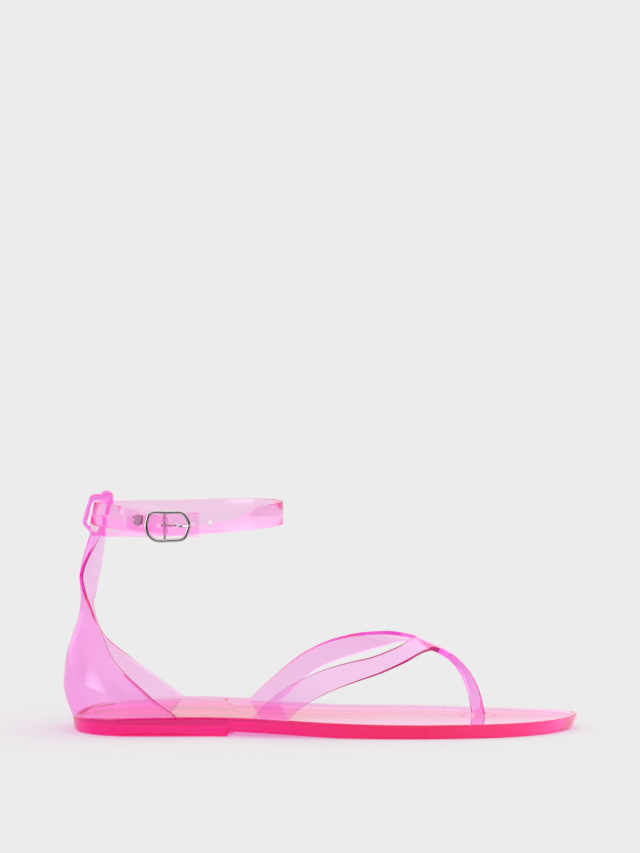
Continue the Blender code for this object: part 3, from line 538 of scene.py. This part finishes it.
def wall_inside(grid, wall, towards):
    """A second grid one wall thickness in from the first, on the side of the point towards."""
    rows, columns = len(grid), len(grid[0])
    inside = []
    for i in range(rows):
        row = []
        for j in range(columns):
            down = grid[min(i + 1, rows - 1)][j] - grid[max(i - 1, 0)][j]
            across = grid[i][min(j + 1, columns - 1)] - grid[i][max(j - 1, 0)]
            normal = down.cross(across).normalized()
            if normal.dot(towards - grid[i][j]) < 0:
                normal.negate()
            row.append(grid[i][j] + normal * wall)
        inside.append(row)
    return inside


def rounded_wall(outer, inner, radius):
    """Closed sections between two grids' rows, with the wall's two edges rounded.

    Past each rounded edge comes one more point, where the painted edge shade can end.
    """
    sections = []
    for outer_row, inner_row in zip(outer, inner):
        section = []
        for line, other in ((outer_row, inner_row), (inner_row[::-1], outer_row[::-1])):
            section += line[1:-1]
            through = other[-1] - line[-1]
            along = (line[-2] - line[-1]).normalized() * radius
            depth = through.normalized() * radius
            for degrees in (0, 30, 60, 90):
                turn = math.radians(degrees)
                section.append(line[-1] + along * (1 - math.sin(turn)) + depth * (1 - math.cos(turn)))
            section.append(section[-1].lerp(other[-2], TRIM_SHARE))
        sections.append(section)
    return sections


def loop_line(table, inset, across):
    """A line of the loop's side view, set in from its table by the inset, at one place across."""
    points = [Vector((LOOP_BACK + x * LOOP_DEPTH, LOOP_BASE + z * LOOP_HEIGHT))
              for x, z in smooth(table, 6, True)]
    line = []
    for k, point in enumerate(points):
        ahead = (points[(k + 1) % len(points)] - points[k - 1]).normalized()
        line.append(Vector((point.x + ahead.y * inset, across, point.y - ahead.x * inset)))
    return line


def strap_loop():
    """The keeper at the top of the neck that the ankle strap runs through."""
    outside, hole = [], []
    for degrees in range(-90, 91, 15):
        turn = math.radians(degrees)
        inset = LOOP_ROUND * (1 - math.cos(turn))
        outside.append(loop_line(LOOP_OUTSIDE, inset, LOOP_WIDTH / 2 * math.sin(turn)))
    for side, steps in ((1, (90, 60, 30, 0)), (-1, (0, 30, 60, 90))):
        for degrees in steps:
            turn = math.radians(degrees)
            across = LOOP_WIDTH / 2 - LOOP_EASE * (1 - math.sin(turn))
            hole.append(loop_line(LOOP_HOLE, -LOOP_EASE * (1 - math.cos(turn)), side * across))
    bm = bmesh.new()
    sweep(bm, outside)
    sweep(bm, hole)
    for side in (-1, 1):
        rim = [e for e in bm.edges if e.is_boundary and e.verts[0].co.y * side > 0]
        bmesh.ops.bridge_loops(bm, edges=rim)
    return finish(bm, "strap_loop_form")


def loop_knob():
    """The rounded head on the loop's front wall."""
    bm = bmesh.new()
    bmesh.ops.create_uvsphere(bm, u_segments=32, v_segments=20, radius=KNOB_DIAMETER / 2)
    x = LOOP_BACK + LOOP_DEPTH - KNOB_DIAMETER / 2
    bmesh.ops.translate(bm, verts=bm.verts, vec=(x, 0, LOOP_BASE + LOOP_HEIGHT - KNOB_DIAMETER / 4))
    return finish(bm, "loop_knob_form")


def combine(piece, operation, *others):
    """Joins closed forms to the piece as one moulding, or cuts them out, and removes them."""
    for other in others:
        step = piece.modifiers.new(other.name, "BOOLEAN")
        step.operation = operation
        step.solver = "EXACT"
        step.object = other
    bpy.context.view_layer.update()
    mesh = bpy.data.meshes.new_from_object(piece.evaluated_get(bpy.context.evaluated_depsgraph_get()))
    piece.modifiers.clear()
    piece.data = mesh
    for other in others:
        bpy.data.objects.remove(other, do_unlink=True)
    mesh.shade_smooth()
    mesh.set_sharp_from_angle(angle=math.radians(35.0))
    return piece


def build_counter():
    """A wall between two grids; the strips round its near front edge get the painted edge shade."""
    outer = []
    for level in range(COUNTER_LEVELS + 1):
        rise = level / COUNTER_LEVELS
        lean, width, nose, outer_reach, inner_reach = read(COUNTER, rise)
        nose *= HEEL_NOSE
        first = -u_turn(outer_reach * COUNTER_REACH, nose)
        last = u_turn(inner_reach * COUNTER_REACH, nose)
        row = []
        for k in range(COUNTER_POINTS):
            x, y = u_curve(mix(first, last, k / (COUNTER_POINTS - 1)), nose, width * HEEL_WIDTH / 2)
            seat = rim_height(max(x, 0.0), 0.5 + 0.5 * math.copysign(min(abs(y) / (HEEL_WIDTH / 2), 1), y))
            row.append(Vector((x + lean * NECK_TOP, y, mix(seat - SEAT_DEPTH, NECK_TOP, rise))))
        outer.append(row)
    axis = Vector((COUNTER_REACH, 0, NECK_TOP / 2))
    bm = bmesh.new()
    near_edge = range(2 * COUNTER_POINTS + 1, 2 * COUNTER_POINTS + 5)
    sweep(bm, rounded_wall(outer, wall_inside(outer, COUNTER_WALL, axis), WALL_ROUND), painted_strips=near_edge)
    bmesh.ops.holes_fill(bm, edges=[e for e in bm.edges if e.is_boundary])
    return combine(finish(bm, "clear_heel_counter"), "UNION", strap_loop(), loop_knob())


def painted_edge_shade(name, colour):
    """Painted shade for a sheet's trimmed edge: an opaque deeper pink in place of the look the edge has
    because it gathers the light from the whole sheet.
    """
    material = bpy.data.materials.new(name)
    material.use_nodes = True
    nodes, links = material.node_tree.nodes, material.node_tree.links
    shader = nodes["Principled BSDF"]
    shader.inputs["Base Color"].default_value = (*colour, 1.0)
    place = nodes.new("ShaderNodeTexCoord")
    scratches = nodes.new("ShaderNodeTexNoise")
    scratches.inputs["Scale"].default_value = 300.0
    links.new(place.outputs["Object"], scratches.inputs["Vector"])
    dull = map_range(nodes, 0.0, 1.0, 0.15, 0.40)
    links.new(scratches.outputs["Fac"], dull.inputs["Value"])
    links.new(dull.outputs["Result"], shader.inputs["Roughness"])
    bump = nodes.new("ShaderNodeBump")
    bump.inputs["Strength"].default_value = 0.2
    bump.inputs["Distance"].default_value = 0.0001
    links.new(scratches.outputs["Fac"], bump.inputs["Height"])
    links.new(bump.outputs["Normal"], shader.inputs["Normal"])
    return material


# Painted light: this vinyl gets a faint pink emission, as though it were lit from within.
strap_vinyl = clear_vinyl("clear_pink_strap", (0.992, 0.0, 0.865), 200.0, 0.4, 0.015, (1.0, 0.0, 0.6))
# Painted shade: an opaque deep pink, darker than the clear vinyl, for the trimmed edges that face the camera.
strap_edge_shade = painted_edge_shade("painted_pink_edge", (0.58, 0.012, 0.20))
counter = build_counter()
while len(counter.data.materials) < 2:
    counter.data.materials.append(None)
counter.data.materials[0] = strap_vinyl
# The second slot holds the painted edge shade.
counter.data.materials[1] = strap_edge_shade
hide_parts("heel_counter")
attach(counter, "root")


# The toe strap: two flat arms of clear vinyl that rise from the sole's sides, lie over the
# instep and join into a round-backed post between the first two toes. Arms and post are moulded
# in one and fused into the sole's rim and footbed.
STRAP_WALL = 0.0019
INSTEP_HEIGHT = 0.0640
POST_RISE = 0.0357
POST_DEPTH = 0.0069
POST_WIDTH = 0.0033
POST_CROWN = 0.8
ARM_COLUMNS = 9
FOLD_ROWS = 5
EDGE_BEVEL = 0.0003
CREASE_ANGLE = math.radians(50.0)

# Share of the sole's length, and the height of the last's ridge as a share of INSTEP_HEIGHT.
RIDGE = (
    (0.330, 1.020),
    (0.400, 0.940),
    (0.451, 0.875),
    (0.514, 0.797),
    (0.550, 0.750),
    (0.600, 0.690),
    (0.648, 0.652),
    (0.673, 0.634),
    (0.699, 0.595),
    (0.728, 0.537),
)

# An arm's back edge, then its front edge: share of the sole's length, and turn round the last
# from its outer side, in degrees.
OUTER_ARM = (
    (0.3525, 0.0, 0.4262, 0.0),
    (0.3750, 5.7, 0.4326, 2.0),
    (0.4092, 13.6, 0.4489, 6.6),
    (0.4508, 21.5, 0.4722, 11.4),
    (0.4964, 30.0, 0.5103, 18.4),
    (0.5480, 38.9, 0.5630, 27.6),
    (0.5975, 48.4, 0.6145, 37.6),
    (0.6453, 62.8, 0.6600, 49.5),
    (0.6650, 74.4, 0.6830, 59.0),
    (0.6830, 90.0, 0.7030, 70.5),
)
INNER_ARM = (
    (0.3497, 180.0, 0.4044, 180.0),
    (0.3735, 174.0, 0.4151, 178.2),
    (0.4001, 167.3, 0.4322, 174.0),
    (0.4500, 153.6, 0.4718, 162.5),
    (0.4964, 142.0, 0.5143, 153.5),
    (0.5511, 128.3, 0.5611, 144.0),
    (0.5995, 114.5, 0.6106, 132.0),
    (0.6453, 99.0, 0.6550, 117.5),
    (0.6670, 94.0, 0.6810, 110.0),
    (0.6830, 90.0, 0.7030, 104.5),
)

# Share of the sole's length, place across as a share of the ball's half width, rise above the
# footbed of POST_RISE, width of POST_WIDTH, depth of POST_DEPTH, and roundness of the section.
POST = (
    (0.7137, -0.023, 1.000, 4.10, 0.35, 0.1),
    (0.7343, -0.007, 0.925, 2.73, 0.48, 0.3),
    (0.7597, 0.034, 0.785, 1.88, 0.58, 0.6),
    (0.7815, 0.092, 0.565, 1.40, 0.75, 1.0),
    (0.7953, 0.143, 0.330, 1.15, 0.88, 1.0),
    (0.8028, 0.175, 0.080, 1.03, 0.97, 1.0),
    (*POST_PLACE, 0.000, 1.00, 1.00, 1.0),
)


def last_point(along, turn):
    """A point on the last over the instep, by place along the sole and turn round it."""
    x = along * SOLE_LENGTH
    angle = math.radians(turn)
    edge = OUTER_EDGE if turn <= 90 else INNER_EDGE
    across = abs(math.cos(angle)) * edge_at(edge, x)
    height = read(RIDGE, along)[0] * INSTEP_HEIGHT * math.sin(angle)
    return Vector((x, across, rim_height(x, turn / 180) - SEAT_DEPTH + height))


def arm_grid(table):
    grid = []
    for back_along, back_turn, front_along, front_turn in smooth(table, 5):
        row = []
        for k in range(ARM_COLUMNS):
            t = k / (ARM_COLUMNS - 1)
            row.append(last_point(mix(back_along, front_along, t), mix(back_turn, front_turn, t)))
        grid.append(row)
    return grid


def post_centre():
    x, y = POST_PLACE[0] * SOLE_LENGTH, POST_PLACE[1] * BALL_WIDTH / 2
    inward = (y - edge_at(OUTER_EDGE, x)) / (edge_at(INNER_EDGE, x) - edge_at(OUTER_EDGE, x))
    return Vector((x, y, footbed_height(x, inward)))


def post_row(x, y, z, width, depth, roundness, ahead):
    """The post's front and back points at one height, as many as both arms' last rows have."""
    out = Vector((-ahead.z, 0, ahead.x))
    columns = 2 * ARM_COLUMNS - 1
    front, back = [], []
    for k in range(columns):
        across = 2 * k / (columns - 1) - 1
        thick = depth / 2 * mix(1.0, math.sqrt(1 - POST_CROWN * across**2), roundness)
        middle = Vector((x, y + across * width / 2, z))
        front.append(middle + out * thick)
        back.append(middle - out * thick)
    return front, back


def wall_faces(bm, outer, inner, painted_strips=()):
    """A wall between two grids of points, open at its first and last rows."""
    sweep(bm, [list(a) + list(b)[::-1] for a, b in zip(outer, inner)], painted_strips=painted_strips)


def build_toe_strap():
    """Both arms and the post as walls between grids; the near arm's edges get the painted edge shade."""
    last_middle = Vector((OUTER_ARM[4][0] * SOLE_LENGTH, 0, HEEL_RIM))
    outer_arm = arm_grid(OUTER_ARM)
    inner_arm = arm_grid(INNER_ARM)
    outer_back = wall_inside(outer_arm, STRAP_WALL, last_middle)
    inner_back = wall_inside(inner_arm, STRAP_WALL, last_middle)
    crotch = outer_back[-1][0].lerp(inner_back[-1][0], 0.5)
    outer_back[-1][0] = crotch
    inner_back[-1][0] = crotch.copy()
    foot = post_centre()
    rows = []
    for along, across, rise, width, depth, roundness in POST:
        rows.append((along * SOLE_LENGTH, across * BALL_WIDTH / 2, foot.z + rise * POST_RISE,
                     width * POST_WIDTH, depth * POST_DEPTH, roundness))
    rows.append((foot.x, foot.y, foot.z - SEAT_DEPTH, POST_WIDTH, POST_DEPTH, 1.0))
    rows = smooth(rows, 5)
    fronts = [outer_arm[-1][::-1] + inner_arm[-1][1:]]
    backs = [outer_back[-1][::-1] + inner_back[-1][1:]]
    for k, (x, y, z, width, depth, roundness) in enumerate(rows):
        before, after = rows[max(k - 1, 0)], rows[min(k + 1, len(rows) - 1)]
        ahead = Vector((after[0] - before[0], 0, after[2] - before[2])).normalized()
        front, back = post_row(x, y, z, width, depth, roundness, ahead)
        fronts.append(front)
        backs.append(back)
    bm = bmesh.new()
    wall_faces(bm, outer_arm, outer_back, painted_strips=(ARM_COLUMNS - 1, 2 * ARM_COLUMNS - 1))
    wall_faces(bm, inner_arm, inner_back)
    wall_faces(bm, fronts[:FOLD_ROWS], backs[:FOLD_ROWS], painted_strips=(2 * len(fronts[0]) - 1,))
    wall_faces(bm, fronts[FOLD_ROWS - 1 :], backs[FOLD_ROWS - 1 :])
    bmesh.ops.remove_doubles(bm, verts=bm.verts, dist=0.000002)
    bmesh.ops.holes_fill(bm, edges=[e for e in bm.edges if e.is_boundary])
    bmesh.ops.recalc_face_normals(bm, faces=bm.faces)
    crease = bm.edges.layers.float.new("crease_edge")
    for edge in bm.edges:
        if len(edge.link_faces) == 2 and edge.calc_face_angle() > CREASE_ANGLE:
            edge[crease] = 1.0
    strap = finish(bm, "clear_toe_strap")
    curve = strap.modifiers.new("curve", "SUBSURF")
    curve.levels = curve.render_levels = 1
    soften = strap.modifiers.new("edges", "BEVEL")
    soften.width = EDGE_BEVEL
    soften.segments = 2
    soften.limit_method = "ANGLE"
    soften.angle_limit = CREASE_ANGLE
    return strap


toe_strap = build_toe_strap()
toe_strap.data.materials.append(strap_vinyl)
# The second material is the painted edge shade on the near arm's edges.
toe_strap.data.materials.append(strap_edge_shade)
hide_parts("toe_strap")
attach(toe_strap, "root")


# The ankle strap: one long strip of clear vinyl with squared ends and five punched holes. It
# starts under the buckle, runs back through the keeper loop, once round the ankle, out through
# the buckle and ends in a free tail.
RING_LENGTH = 0.0938
RING_WIDTH = 0.0636
ANKLE_WIDTH = 0.0115
TAIL_WIDTH = 0.0106
ANKLE_WALL = 0.0018
STRIP_ROUND = 0.00035
HOLE_DIAMETER = 0.0020
HOLE_PITCH = 0.0086
HOLE_SLOPE = 0.085
PRONG_HOLE = 0.0032
FRAME_LENGTH = 0.0228
FRAME_HEIGHT = 0.0158
FRAME_WIRE = 0.0017
BAR_DIAMETER = 0.0013
BAR_BACK = 0.0015
PRONG_WIRE = 0.0012
PRONG_PLAY = 0.00015
PRONG_REACH = 0.0055
RING_TURNS = (221, 208, 195, 180, 165, 150, 130, 110, 90, 70, 50, 32, 16, 0, -16, -32, -50, -70, -84)

# Turn round the ankle in degrees, from the front over the inner side; rise of ANKLE_WIDTH; lean
# towards the foot in degrees.
RING = (
    (-85.0, -0.01, 0.0),
    (-50.0, 0.10, 0.0),
    (-30.0, 0.15, 0.0),
    (0.0, 0.17, 0.0),
    (30.0, 0.10, 0.0),
    (60.0, 0.02, 0.0),
    (90.0, -0.09, 0.0),
    (120.0, -0.08, 0.0),
    (150.0, 0.00, 5.0),
    (165.0, 0.08, 10.0),
    (180.0, 0.12, 11.0),
    (205.0, 0.19, 6.0),
    (225.0, 0.17, 0.0),
)

# The strap's ends at the buckle: place forward of the frame's middle as a share of FRAME_LENGTH,
# rise of ANKLE_WIDTH, and place inward of FRAME_LENGTH.
UNDER_LAYER = (
    (0.690, -0.21, 0.000),
    (0.360, -0.14, 0.000),
    (0.000, -0.07, 0.000),
    (-0.340, 0.00, 0.000),
    (-0.600, 0.06, 0.000),
    (-0.745, 0.09, 0.000),
    (-0.877, 0.12, 0.017),
    (-1.010, 0.14, 0.070),
)
TAIL_LAYER = (
    (0.220, -0.07, 0.000),
    (0.000, -0.10, 0.000),
    (-0.360, -0.12, 0.000),
    (-0.750, -0.13, 0.000),
    (-1.200, -0.13, 0.022),
    (-1.670, -0.13, 0.100),
)
STRAP_SEAT_SHARE = 0.355
RING_RISE_SHARE = 0.445
FRAME_BACK_SHARE = 0.103
PRONG_DROP_SHARE = 0.110
RING_FORWARD = LOOP_BACK + STRAP_SEAT_SHARE * LOOP_DEPTH + RING_LENGTH / 2
RING_HEIGHT = LOOP_BASE + RING_RISE_SHARE * LOOP_HEIGHT
FRAME_FORWARD = RING_FORWARD - FRAME_BACK_SHARE * RING_LENGTH
PRONG_RISE = RING_HEIGHT - PRONG_DROP_SHARE * ANKLE_WIDTH
TAIL_DEPTH = FRAME_WIRE / 2 + FIT_GAP + ANKLE_WALL / 2
BAR_DEPTH = TAIL_DEPTH + ANKLE_WALL / 2 + FIT_GAP + PRONG_WIRE + PRONG_PLAY + BAR_DIAMETER / 2
UNDER_DEPTH = BAR_DEPTH + BAR_DIAMETER / 2 + PRONG_PLAY + PRONG_WIRE + FIT_GAP + ANKLE_WALL / 2
FRAME_ACROSS = -RING_WIDTH / 2 - TAIL_DEPTH
BAR_FORWARD = FRAME_FORWARD - BAR_BACK


def ring_row(turn):
    rise, lean = read(RING, turn)
    angle = math.radians(turn)
    return (RING_FORWARD + RING_LENGTH / 2 * math.cos(angle), RING_WIDTH / 2 * math.sin(angle),
            RING_HEIGHT + rise * ANKLE_WIDTH, lean, ANKLE_WIDTH)


def ankle_path():
    """The strap's middle line: under layer, once round the ankle, through the buckle, tail."""
    rows = []
    for along, rise, inward in UNDER_LAYER:
        rows.append((FRAME_FORWARD + along * FRAME_LENGTH, FRAME_ACROSS + UNDER_DEPTH + inward * FRAME_LENGTH,
                     RING_HEIGHT + rise * ANKLE_WIDTH, 0.0, ANKLE_WIDTH))
    for turn in RING_TURNS:
        rows.append(ring_row(turn))
    for along, rise, inward in TAIL_LAYER:
        width = mix(ANKLE_WIDTH, TAIL_WIDTH, min(max(0.5 - along, 0.0), 1.0))
        rows.append((FRAME_FORWARD + along * FRAME_LENGTH, FRAME_ACROSS + TAIL_DEPTH + inward * FRAME_LENGTH,
                     RING_HEIGHT + rise * ANKLE_WIDTH, 0.0, width))
    return smooth(rows, 8)


def strip_sections(path, wall, radius):
    """Closed sections, with rounded edges, of a strip that stands on edge along a path."""
    sections = []
    for k, (x, y, z, lean, width) in enumerate(path):
        before, after = path[max(k - 1, 0)], path[min(k + 1, len(path) - 1)]
        ahead = Vector((after[0] - before[0], after[1] - before[1], 0)).normalized()
        foot_side = Vector((-ahead.y, ahead.x, 0))
        if foot_side.dot(Vector((RING_FORWARD - x, -y, 0))) < 0:
            foot_side.negate()
        tilt = math.radians(lean)
        up = Vector((0, 0, 1)) * math.cos(tilt) + foot_side * math.sin(tilt)
        face = foot_side * math.cos(tilt) - Vector((0, 0, 1)) * math.sin(tilt)
        section = []
        for corner, (across, through) in enumerate(((1, 1), (-1, 1), (-1, -1), (1, -1))):
            for degrees in (0, 30, 60, 90):
                turn = math.radians(degrees + 90 * corner)
                a = across * (width / 2 - radius) + radius * math.cos(turn)
                b = through * (wall / 2 - radius) + radius * math.sin(turn)
                section.append(Vector((x, y, z)) + up * a + face * b)
        sections.append(section)
    return sections


def round_cutter(name, x, z, y_from, y_to, diameter, sides=28):
    bm = bmesh.new()
    sections = []
    for y in (y_from, y_to):
        sections.append([Vector((x + diameter / 2 * math.cos(t), y, z + diameter / 2 * math.sin(t)))
                         for t in (2 * math.pi * s / sides for s in range(sides))])
    sweep(bm, sections)
    bmesh.ops.holes_fill(bm, edges=[e for e in bm.edges if e.is_boundary])
    return finish(bm, name)


def build_ankle_strap():
    bm = bmesh.new()
    sweep(bm, strip_sections(ankle_path(), ANKLE_WALL, STRIP_ROUND))
    bmesh.ops.holes_fill(bm, edges=[e for e in bm.edges if e.is_boundary])
    strap = finish(bm, "clear_ankle_strap")
    through_tail = FRAME_ACROSS + TAIL_DEPTH + 2 * ANKLE_WALL
    cutters = []
    for k in range(-2, 3):
        x = BAR_FORWARD + PRONG_REACH + k * HOLE_PITCH
        rise = PRONG_RISE + HOLE_SLOPE * HOLE_PITCH * max(k, 0)
        diameter = HOLE_DIAMETER if k else PRONG_HOLE
        cutters.append(round_cutter("strap_hole", x, rise, FRAME_ACROSS, through_tail, diameter))
    return combine(strap, "DIFFERENCE", *cutters)


# Painted light: this vinyl gets a faint pink emission, as though it were lit from within.
ankle_vinyl = clear_vinyl("clear_pink_ankle_strap", (0.980, 0.0, 0.76), 150.0, 0.4, 0.015, (1.0, 0.0, 0.6))
ankle_strap = build_ankle_strap()
ankle_strap.data.materials.clear()
ankle_strap.data.materials.append(ankle_vinyl)
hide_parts("ankle_strap")
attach(ankle_strap, "root")


# The buckle: an open steel frame with a centre bar, a bent wire prong and a two-headed rivet,
# all polished. The rivet holds the vinyl chape round the bar to the strap's under layer.
FRAME_DROP_SHARE = 0.13
FRAME_RISE = RING_HEIGHT - FRAME_DROP_SHARE * ANKLE_WIDTH
BAR_BEND_SHARE = 0.6
WIRE_POINTS = 20
WIRE_FLATNESS = 2.8

# The frame's middle line seen from the outer side, as shares of half its length and height.
FRAME = (
    (-0.76, 0.97),
    (0.00, 1.00),
    (0.66, 0.98),
    (0.90, 0.62),
    (1.00, 0.14),
    (0.92, -0.44),
    (0.70, -0.90),
    (0.00, -1.00),
    (-0.55, -0.98),
    (-0.88, -0.62),
    (-1.00, -0.12),
    (-0.98, 0.34),
)


def wire_section(middle, side, top, width):
    """A flattened round: the wire's section at one place of its path."""
    points = []
    for k in range(WIRE_POINTS):
        turn = 2 * math.pi * k / WIRE_POINTS
        a, b = math.cos(turn), math.sin(turn)
        reach = width / 2 / (abs(a) ** WIRE_FLATNESS + abs(b) ** WIRE_FLATNESS) ** (1 / WIRE_FLATNESS)
        points.append(middle + side * (a * reach) + top * (b * reach))
    return points


def build_frame():
    """The frame's wire as a closed ring, and the bent bar from its top wire to its bottom one."""
    half_length = (FRAME_LENGTH - FRAME_WIRE) / 2
    half_height = (FRAME_HEIGHT - FRAME_WIRE) / 2
    across = Vector((0, 1, 0))
    path = [Vector((FRAME_FORWARD + along * half_length, FRAME_ACROSS, FRAME_RISE + up * half_height))
            for along, up in smooth(FRAME, 8, True)]
    sections = []
    for k, middle in enumerate(path):
        ahead = (path[(k + 1) % len(path)] - path[k - 1]).normalized()
        sections.append(wire_section(middle, ahead.cross(across), across, FRAME_WIRE))
    bm = bmesh.new()
    sweep(bm, sections + [sections[0]])
    corner = BAR_DIAMETER * BAR_BEND_SHARE
    bar = []
    for side in (1, -1):
        line = [(0.0, 0.0)] + [(BAR_DEPTH - corner + corner * math.sin(t), corner * (1 - math.cos(t)))
                               for t in (math.radians(d) for d in (0, 30, 60, 90))]
        bend = [Vector((BAR_FORWARD, FRAME_ACROSS + depth, FRAME_RISE + side * (half_height - drop)))
                for depth, drop in line]
        bar += bend if side > 0 else bend[::-1]
    forward = Vector((1, 0, 0))
    sections = []
    for k, middle in enumerate(bar):
        ahead = (bar[min(k + 1, len(bar) - 1)] - bar[max(k - 1, 0)]).normalized()
        sections.append(wire_section(middle, forward, ahead.cross(forward), BAR_DIAMETER))
    sweep(bm, sections)
    bmesh.ops.holes_fill(bm, edges=[e for e in bm.edges if e.is_boundary])
    return finish(bm, "polished_buckle_frame")


def polished_steel(name, colour):
    material = bpy.data.materials.new(name)
    material.use_nodes = True
    nodes, links = material.node_tree.nodes, material.node_tree.links
    shader = nodes["Principled BSDF"]
    shader.inputs["Base Color"].default_value = (*colour, 1.0)
    shader.inputs["Metallic"].default_value = 1.0
    place = nodes.new("ShaderNodeTexCoord")
    scuffs = nodes.new("ShaderNodeTexNoise")
    scuffs.inputs["Scale"].default_value = 900.0
    scuffs.inputs["Detail"].default_value = 3.0
    links.new(place.outputs["Object"], scuffs.inputs["Vector"])
    wear = map_range(nodes, 0.0, 1.0, 0.05, 0.16)
    links.new(scuffs.outputs["Fac"], wear.inputs["Value"])
    links.new(wear.outputs["Result"], shader.inputs["Roughness"])
    return material


steel = polished_steel("polished_steel", (0.50, 0.48, 0.48))
buckle_frame = build_frame()
buckle_frame.data.materials.append(steel)
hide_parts("buckle_frame")
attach(buckle_frame, "root")
for node in ("buckle_prong", "rivet"):
    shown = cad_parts[node]
    for spot in shown.material_slots:
        spot.material = steel
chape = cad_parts["buckle_chape"]
for spot in chape.material_slots:
    spot.material = ankle_vinyl


# The studio: a pale floor under an even bright surround. Glossy surfaces see a white ceiling and
# backdrop, one soft box to the left, and the unlit room in front of the table.
FLOOR_REACH = 9.0
FLOOR_DROP = 0.0001
SURROUND_LIGHT = 1.05
SEEN_THROUGH_SHARE = 0.80
SOFT_BOX = Vector((-0.85, -0.52, -0.14)).normalized()


def build_floor():
    """A matt floor that mirror rays pass through in front of the table, into the unlit room."""
    bm = bmesh.new()
    bmesh.ops.create_grid(bm, x_segments=1, y_segments=1, size=FLOOR_REACH)
    bmesh.ops.translate(bm, verts=bm.verts, vec=(0, 0, -FLOOR_DROP))
    mesh = bpy.data.meshes.new("studio_floor")
    bm.to_mesh(mesh)
    bm.free()
    floor = bpy.data.objects.new("studio_floor", mesh)
    scene.collection.objects.link(floor)
    paper = bpy.data.materials.new("white_floor")
    paper.use_nodes = True
    shader = paper.node_tree.nodes["Principled BSDF"]
    shader.inputs["Base Color"].default_value = (0.80, 0.80, 0.80, 1.0)
    shader.inputs["Roughness"].default_value = 0.9
    shader.inputs["Specular IOR Level"].default_value = 0.0
    nodes, links = paper.node_tree.nodes, paper.node_tree.links
    place = nodes.new("ShaderNodeTexCoord")
    parts = nodes.new("ShaderNodeSeparateXYZ")
    links.new(place.outputs["Object"], parts.inputs["Vector"])
    front = map_range(nodes, -0.10, -0.45, 0.0, 0.96)
    links.new(parts.outputs["Y"], front.inputs["Value"])
    rays = nodes.new("ShaderNodeLightPath")
    unlit = nodes.new("ShaderNodeMath")
    unlit.operation = "MULTIPLY"
    links.new(front.outputs["Result"], unlit.inputs[0])
    links.new(rays.outputs["Is Glossy Ray"], unlit.inputs[1])
    past_table = nodes.new("ShaderNodeBsdfTransparent")
    seen = nodes.new("ShaderNodeMixShader")
    links.new(unlit.outputs["Value"], seen.inputs["Fac"])
    links.new(shader.outputs["BSDF"], seen.inputs[1])
    links.new(past_table.outputs["BSDF"], seen.inputs[2])
    links.new(seen.outputs["Shader"], nodes["Material Output"].inputs["Surface"])
    mesh.materials.append(paper)
    return floor


build_floor()

world = bpy.data.worlds.new("studio")
scene.world = world
world.use_nodes = True
world.cycles.sampling_method = "NONE"
nodes, links = world.node_tree.nodes, world.node_tree.links
heading = nodes.new("ShaderNodeTexCoord")
parts = nodes.new("ShaderNodeSeparateXYZ")
links.new(heading.outputs["Generated"], parts.inputs["Vector"])
ceiling = map_range(nodes, 0.0, 0.5, 0.03, 1.5)
links.new(parts.outputs["Z"], ceiling.inputs["Value"])
backdrop = map_range(nodes, -0.25, 0.35, 0.03, 1.05)
links.new(parts.outputs["Y"], backdrop.inputs["Value"])
walls = nodes.new("ShaderNodeMath")
walls.operation = "MAXIMUM"
links.new(ceiling.outputs["Result"], walls.inputs[0])
links.new(backdrop.outputs["Result"], walls.inputs[1])
towards_box = nodes.new("ShaderNodeVectorMath")
towards_box.operation = "DOT_PRODUCT"
towards_box.inputs[1].default_value = SOFT_BOX
links.new(heading.outputs["Generated"], towards_box.inputs[0])
soft_box = map_range(nodes, 0.87, 0.995, 0.0, 5.0)
links.new(towards_box.outputs["Value"], soft_box.inputs["Value"])
studio = nodes.new("ShaderNodeMath")
studio.operation = "ADD"
links.new(walls.outputs["Value"], studio.inputs[0])
links.new(soft_box.outputs["Result"], studio.inputs[1])
rays = nodes.new("ShaderNodeLightPath")
seen = nodes.new("ShaderNodeMix")
seen.data_type = "FLOAT"
seen.inputs["B"].default_value = SURROUND_LIGHT
plain = nodes.new("ShaderNodeMath")
plain.operation = "MAXIMUM"
links.new(rays.outputs["Is Camera Ray"], plain.inputs[0])
links.new(rays.outputs["Is Diffuse Ray"], plain.inputs[1])
even = nodes.new("ShaderNodeMath")
even.operation = "MULTIPLY_ADD"
even.use_clamp = True
even.inputs[1].default_value = SEEN_THROUGH_SHARE
links.new(rays.outputs["Is Transmission Ray"], even.inputs[0])
links.new(plain.outputs["Value"], even.inputs[2])
links.new(even.outputs["Value"], seen.inputs["Factor"])
links.new(studio.outputs["Value"], seen.inputs["A"])
surround = nodes["Background"]
surround.inputs["Color"].default_value = (1.0, 1.0, 1.0, 1.0)
links.new(seen.outputs["Result"], surround.inputs["Strength"])

camera_data = bpy.data.cameras.new("camera")
camera = bpy.data.objects.new("camera", camera_data)
scene.collection.objects.link(camera)
scene.camera = camera

# The camera stands 8 m off. It aims above the shoe, which is low in the frame, so its ray to the
# sole falls at 7.1 degrees. FRAME_TALL is the height that the picture covers where it aims.
VIEW_DISTANCE = 8.0
VIEW_RISE = math.radians(6.01)
AIM = Vector((-0.0002, 0.0, 0.15229))
FRAME_TALL = 0.42565
SENSOR = 36.0
camera.location = AIM + Vector((0, -math.cos(VIEW_RISE), math.sin(VIEW_RISE))) * VIEW_DISTANCE
camera.rotation_euler = (math.pi / 2 - VIEW_RISE, 0, 0)
camera_data.sensor_fit = "VERTICAL"
camera_data.sensor_height = SENSOR
camera_data.lens = SENSOR * VIEW_DISTANCE / FRAME_TALL
camera_data.clip_end = 50.0

scene.view_settings.view_transform = "Standard"
scene.cycles.max_bounces = 40
scene.cycles.transmission_bounces = 40
scene.cycles.transparent_max_bounces = 24
scene.cycles.glossy_bounces = 40
scene.cycles.diffuse_bounces = 4
